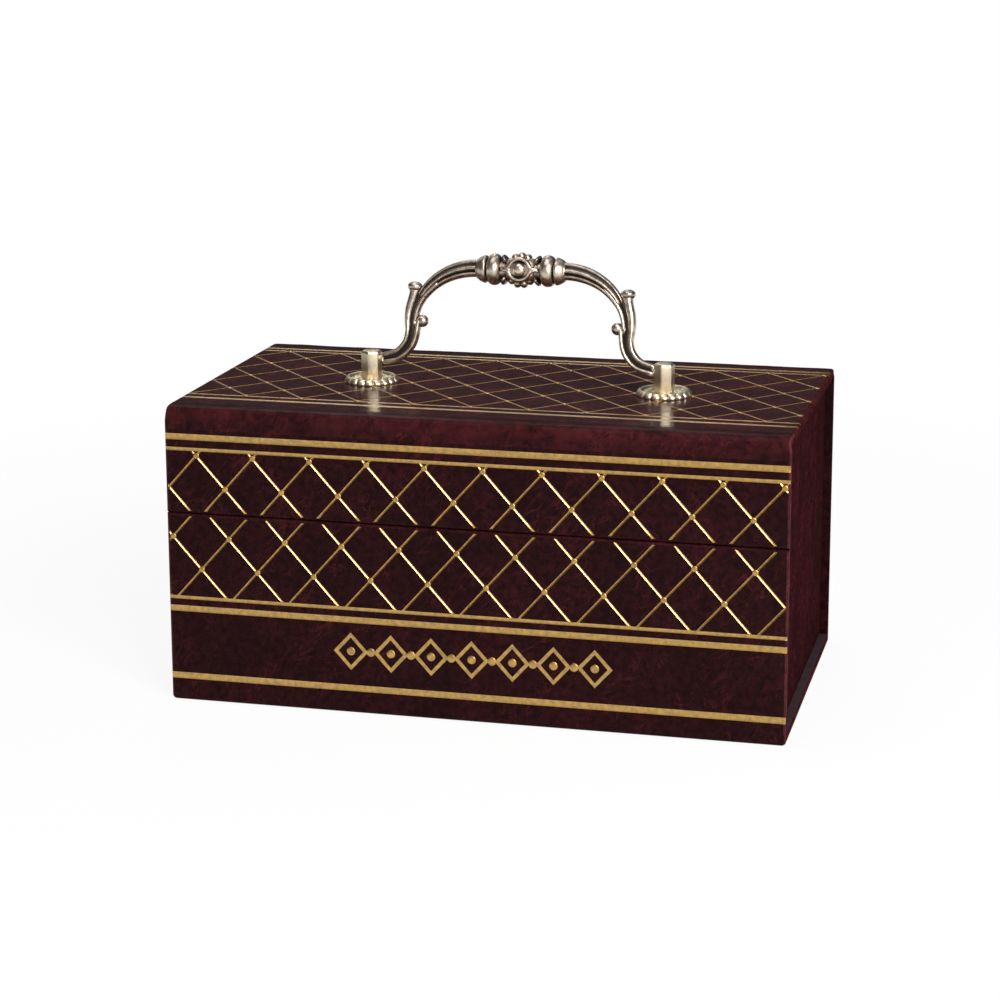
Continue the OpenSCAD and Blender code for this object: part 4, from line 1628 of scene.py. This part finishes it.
class ETROG_OT_bail(bpy.types.Operator):
    """Makes the cast handle: fluted arms, railed legs, knobs, buds, collars, beads and medallion"""

    bl_idname = "etrog.bail"
    bl_label = "Handle"

    def execute(self, context):
        sizes = context.scene.etrog_handle
        pieces = []
        for side, word in ((-1, "left"), (1, "right")):
            pieces += self.arm(word, side, sizes)
            pieces += self.small_parts(word, side, sizes)
            pieces += self.grip_half(word, side, sizes)
        pieces += self.medallion(sizes)
        bail = join_pieces("handle_brass", pieces)
        pivot = Vector(JOINTS["bail_swing"]["pos_m"]) + Vector((0.4 * MM, 0, 0))
        bail.data.transform(Matrix.Translation(pivot) @ Matrix.Rotation(-sizes.lean, 4, "X"))
        dress(bail, "bail", "antique_brass", "handle_bail")
        return {"FINISHED"}

    def arm(self, word, side, sizes):
        """A side's fluted arch, its horn, the two inner rails, the sunk web and the foot."""
        plain = round_section()
        fluted = fluted_section(((0.46, 0.22), (-0.34, 0.14)))
        return [
            swept_piece(word + "_arch", ARCH_LINE, side, fluted, sizes.arm_thickness),
            swept_piece(word + "_horn", HORN_LINE, side, plain, sizes.rail_thickness),
            swept_piece(word + "_upper_rail", UPPER_RAIL_LINE, side, plain, sizes.rail_thickness),
            swept_piece(word + "_lower_rail", LOWER_RAIL_LINE, side, plain, sizes.rail_thickness),
            swept_piece(word + "_web", WEB_LINE, side, plain, sizes.web_thickness, sunk=1),
            swept_piece(word + "_foot", FOOT_LINE, side, plain, sizes.rail_thickness * 0.9),
        ]

    def small_parts(self, word, side, sizes):
        """A side's shoulder knob, inner bud and pivot pin."""
        bud = sizes.bud_radius / MM
        up = on_side(side, 33.85, 20.2, -0.1)
        inwards = on_side(side, 30.8, 12.4, -1.35)
        outwards = on_side(side, 42.2, 0.3, math.pi / 2)
        knob = [
            (0, -0.4), (1.3, -0.4), (1.34, 0.4), (1.4, 1), (1.62, 1.5), (2.05, 1.95), (2.32, 2.5),
            (2.3, 3.05), (2.02, 3.6), (1.45, 4.05), (0.75, 4.3), (0, 4.38),
        ]
        pin = [(0, 0), (1.15, 0), (1.15, 0.4), (1.15, 3), (1, 3.2), (0, 3.2)]
        return [
            turned_piece(word + "_knob", knob, up),
            turned_piece(word + "_bud", ball_outline(bud, bud * 0.72, bud * 1.4), inwards),
            turned_piece(word + "_pin", pin, outwards, 24),
        ]

    def grip_half(self, word, side, sizes):
        """A side's collar and bead on the grip."""
        rise = sizes.grip_rise
        place = Matrix.Translation((0, 0, rise)) @ Matrix.Rotation(side * math.pi / 2, 4, "Y")
        collar = [
            (0, 14.1), (2.6, 14.1), (3.05, 13.75), (3.55, 13.15), (3.95, 12.4), (4.22, 11.7), (4.28, 11.25),
            (4.1, 10.9), (3.5, 10.65), (3, 10.5),
        ]
        bead = [
            (3, 10.6), (3.7, 10.4), (4.35, 10), (4.75, 9.3), (4.9, 8.45), (4.75, 7.6), (4.35, 6.9),
            (3.7, 6.5), (2.8, 6.3), (2.6, 5.4), (0, 5.2),
        ]
        return [
            turned_piece(word + "_collar", list(reversed(collar)), place),
            turned_piece(word + "_bead", list(reversed(bead)), place),
        ]

    def medallion(self, sizes):
        """The ornament between the beads: a hub with petals, and on both faces a bezel with a ball."""
        finish = finish_of("antique_brass")
        rise = Matrix.Translation((0, 0, sizes.grip_rise))
        across = rise @ Matrix.Rotation(math.pi / 2, 4, "Y")
        hub = [
            (0, -6.6), (2.6, -6.6), (2.6, -4.6), (3.6, -3.9), (4, 0),
            (3.6, 3.9), (2.6, 4.6), (2.6, 6.6), (0, 6.6),
        ]
        pieces = [turned_piece("hub", hub, across, 32)]
        upright = rise @ Matrix.Rotation(math.pi / 2, 4, "X") @ Matrix.Rotation(math.pi / 2, 4, "Z")
        pieces.append(grow(
            "petals", lobes_tree(), place=upright,
            Count=sizes.petals, Radius=4.15 * MM, Size=(1.4 * MM, 1.3 * MM, 1.9 * MM), Material=finish,
        ))
        ball = [(0, 3.2), (2.1, 3.2), (2.08, 3.7), (1.85, 4.35), (1.35, 4.85), (0.65, 5.12), (0, 5.17)]
        for word, turn in (("front", math.pi / 2), ("back", -math.pi / 2)):
            facing = rise @ Matrix.Rotation(turn, 4, "X")
            pieces.append(turned_piece(word + "_ball", ball, facing, 32))
            pieces.append(self.bezel(word + "_bezel", facing))
            for lean in (-1, 1):
                for side in (-1, 1):
                    spot = facing @ Matrix.Translation((side * 5.05 * MM, lean * 3.1 * MM, 0))
                    pieces.append(self.leaf(f"{word}_leaf_{lean + 1}{side + 1}", spot, side * lean))
        return pieces

    def leaf(self, name, place, tilt):
        """A small rounded leaf in a corner between the bezel and a bead."""
        bm = bmesh.new()
        turned = place @ Matrix.Rotation(-tilt * 0.5, 4, "Z")
        shape = turned @ Matrix.Diagonal((0.85 * MM, 1.75 * MM, 3.1 * MM, 1))
        bmesh.ops.create_uvsphere(bm, u_segments=18, v_segments=12, radius=1, matrix=shape)
        close_and_turn_out(bm)
        return finish_mesh(bm, name, finish_of("antique_brass"), degrees=60)

    def bezel(self, name, place):
        """A round bezel whose sides run out in a tapering arm to the left and the right."""
        radius = 3.9
        turns = [math.radians(degrees) for degrees in range(90, 29, -10)]
        quarter = [(radius * math.cos(t), radius * math.sin(t)) for t in turns]
        quarter += [(3.75, 1.42), (4.1, 1), (4.5, 0.76), (5, 0.68), (6.3, 0.64)]
        upper = quarter + [(x, -y) for x, y in reversed(quarter)]
        outline = upper[:-1] + [(-x, -y) for x, y in upper[:-1]]
        rings = []
        for share, inner, height in (
            (0, 2.65, 2.6), (0, 2.7, 3.7), (0.12, 2.75, 4.25), (0.4, 2.75, 4.4),
            (0.75, 2.75, 4.2), (1, 2.75, 3.7), (1, 2.75, 1.2),
        ):
            ring = []
            for x, y in outline:
                reach = math.hypot(x, y)
                far = (inner + share * (reach - inner)) / reach
                drop = 0.25 * max(reach - radius, 0) * share
                ring.append(place @ (Vector((x * far, y * far, height - drop)) * MM))
            rings.append(ring)
        bm = bmesh.new()
        made = loft(bm, rings)
        inside, outside = made[0], made[-1]
        for k in range(len(inside)):
            n = (k + 1) % len(inside)
            bm.faces.new((inside[k], outside[k], outside[n], inside[n]))
        close_and_turn_out(bm)
        return finish_mesh(bm, name, finish_of("antique_brass"), degrees=60)


# Stage

def floor_material():
    """A white floor that keeps the object's soft shadow and shows white to the eye and to metal."""
    material, tree, shader, place = new_material("White floor")
    shader.inputs["Base Color"].default_value = (0.93, 0.93, 0.93, 1)
    shader.inputs["Roughness"].default_value = 0.9
    shader.inputs["Specular IOR Level"].default_value = 0
    rays = add_node(tree, "ShaderNodeLightPath").outputs
    seen = calculate(tree, "ADD", rays["Is Camera Ray"], rays["Is Glossy Ray"])
    seen = calculate(tree, "ADD", seen, rays["Is Transmission Ray"])
    glow = add_node(tree, "ShaderNodeEmission", {"Color": (1, 1, 1, 1), "Strength": 1})
    blend = add_node(tree, "ShaderNodeMixShader")
    away = add_node(tree, "ShaderNodeVectorMath", operation="LENGTH")
    tree.links.new(place, away.inputs[0])
    share = map_range(tree, away.outputs["Value"], 0.14, 0.5, 0.9, 1)
    tree.links.new(calculate(tree, "MULTIPLY", seen, share), blend.inputs[0])
    tree.links.new(shader.outputs[0], blend.inputs[1])
    tree.links.new(glow.outputs[0], blend.inputs[2])
    tree.links.new(blend.outputs[0], tree.nodes["Material Output"].inputs["Surface"])
    return material


class ETROG_OT_stage(bpy.types.Operator):
    """Makes the camera, the floor and the lights"""

    bl_idname = "etrog.stage"
    bl_label = "Stage"

    def execute(self, context):
        settings = context.scene.etrog_stage
        self.camera(context.scene, settings)
        self.floor()
        self.lights(context.scene, settings)
        context.scene.view_settings.view_transform = "Standard"
        return {"FINISHED"}

    def camera(self, scene, settings):
        """A camera at the viewing angle, held by its yaw, pitch and roll."""
        yaw, pitch, roll = settings.yaw, settings.pitch, settings.roll
        level = math.cos(pitch)
        ahead = Vector((-math.sin(yaw) * level, math.cos(yaw) * level, -math.sin(pitch)))
        right = Vector((math.cos(yaw), math.sin(yaw), 0))
        up = right.cross(ahead)
        tipped_right = math.cos(roll) * right + math.sin(roll) * up
        tipped_up = -math.sin(roll) * right + math.cos(roll) * up
        camera = bpy.data.objects.new("Camera", bpy.data.cameras.new("Camera"))
        camera.data.lens = settings.lens
        camera.data.sensor_width = 36
        camera.data.shift_y = settings.shift
        camera.data.clip_start = 0.01
        turn = Matrix((tipped_right, tipped_up, -ahead)).transposed().to_4x4()
        camera.matrix_world = Matrix.Translation(settings.camera_place) @ turn
        scene.collection.objects.link(camera)
        scene.camera = camera

    def floor(self):
        """A wide round floor just under the box."""
        bm = bmesh.new()
        bmesh.ops.create_circle(bm, cap_ends=True, radius=5, segments=96)
        place = Matrix.Translation((0, 0, CAD_BOX[0].z - 0.1 * MM))
        floor = finish_mesh(bm, "floor", floor_material(), place=place)

    def lights(self, scene, settings):
        """Soft boxes round the object and an even level of light from all sides."""
        world = bpy.data.worlds.new("Studio")
        scene.world = world
        world.use_nodes = True
        level = settings.world_level
        world.node_tree.nodes["Background"].inputs["Color"].default_value = (level, level, level, 1)
        aim = (CAD_BOX[0] + CAD_BOX[1]) / 2
        # Each lamp's name, the way to it from the box, its distance, its size and its power
        for name, way, away, size, power in (
            ("Key", (0.55, -0.68, 0.49), 1.1, 0.55, 13.9),
            ("Front fill", (-0.4, -0.88, 0.25), 1.2, 0.9, 0.9),
            ("Overhead", (-0.1, -0.15, 1), 1.1, 0.7, 4.0),
            ("Back", (-0.226, 0.735, 0.632), 1.2, 0.4, 1.3),
            ("Back left", (-0.585, 0.626, 0.505), 1.2, 0.45, 0.55),
            ("Back right", (0.29, 0.49, 0.82), 1.2, 0.45, 0.5),
        ):
            lamp = bpy.data.lights.new(name, "AREA")
            lamp.shape = "SQUARE"
            lamp.size = size
            lamp.energy = power
            made = bpy.data.objects.new(name, lamp)
            made.location = aim + Vector(way).normalized() * away
            made.rotation_euler = (aim - made.location).to_track_quat("-Z", "Y").to_euler()
            made.visible_camera = False
            scene.collection.objects.link(made)


class ETROG_PT_dressing(bpy.types.Panel):
    """Lists the steps and the sizes and colours that they use"""

    bl_idname = "ETROG_PT_dressing"
    bl_label = "Etrog box"
    bl_space_type = "VIEW_3D"
    bl_region_type = "UI"
    bl_category = "Etrog Box"

    def draw(self, context):
        for step in STEPS:
            self.layout.operator(step.bl_idname)
        for label, group in SETTINGS.items():
            box = self.layout.box()
            box.label(text=group.__doc__)
            held = getattr(context.scene, label)
            for name in group.__annotations__:
                box.prop(held, name)


SETTINGS = {
    "etrog_tooling": ToolingSizes,
    "etrog_ornament": OrnamentSizes,
    "etrog_handle": HandleSizes,
    "etrog_colours": FinishColours,
    "etrog_stage": StageSettings,
}
STEPS = (
    ETROG_OT_stage,
    ETROG_OT_lid_panel,
    ETROG_OT_flap_panel,
    ETROG_OT_front_panel,
    ETROG_OT_folds,
    ETROG_OT_base_leather,
    ETROG_OT_linings,
    ETROG_OT_pads,
    ETROG_OT_carcass,
    ETROG_OT_posts,
    ETROG_OT_bail,
)


def register():
    """Registers the settings, the steps and the panel."""
    for label, group in SETTINGS.items():
        bpy.utils.register_class(group)
        setattr(bpy.types.Scene, label, PointerProperty(type=group))
    for step in (*STEPS, ETROG_PT_dressing):
        bpy.utils.register_class(step)


def unregister():
    """Takes back what register added."""
    for step in (ETROG_PT_dressing, *reversed(STEPS)):
        bpy.utils.unregister_class(step)
    for label, group in reversed(SETTINGS.items()):
        delattr(bpy.types.Scene, label)
        bpy.utils.unregister_class(group)


def main():
    register()
    for step in STEPS:
        group, name = step.bl_idname.split(".")
        getattr(getattr(bpy.ops, group), name)()


if __name__ == "__main__":
    main()
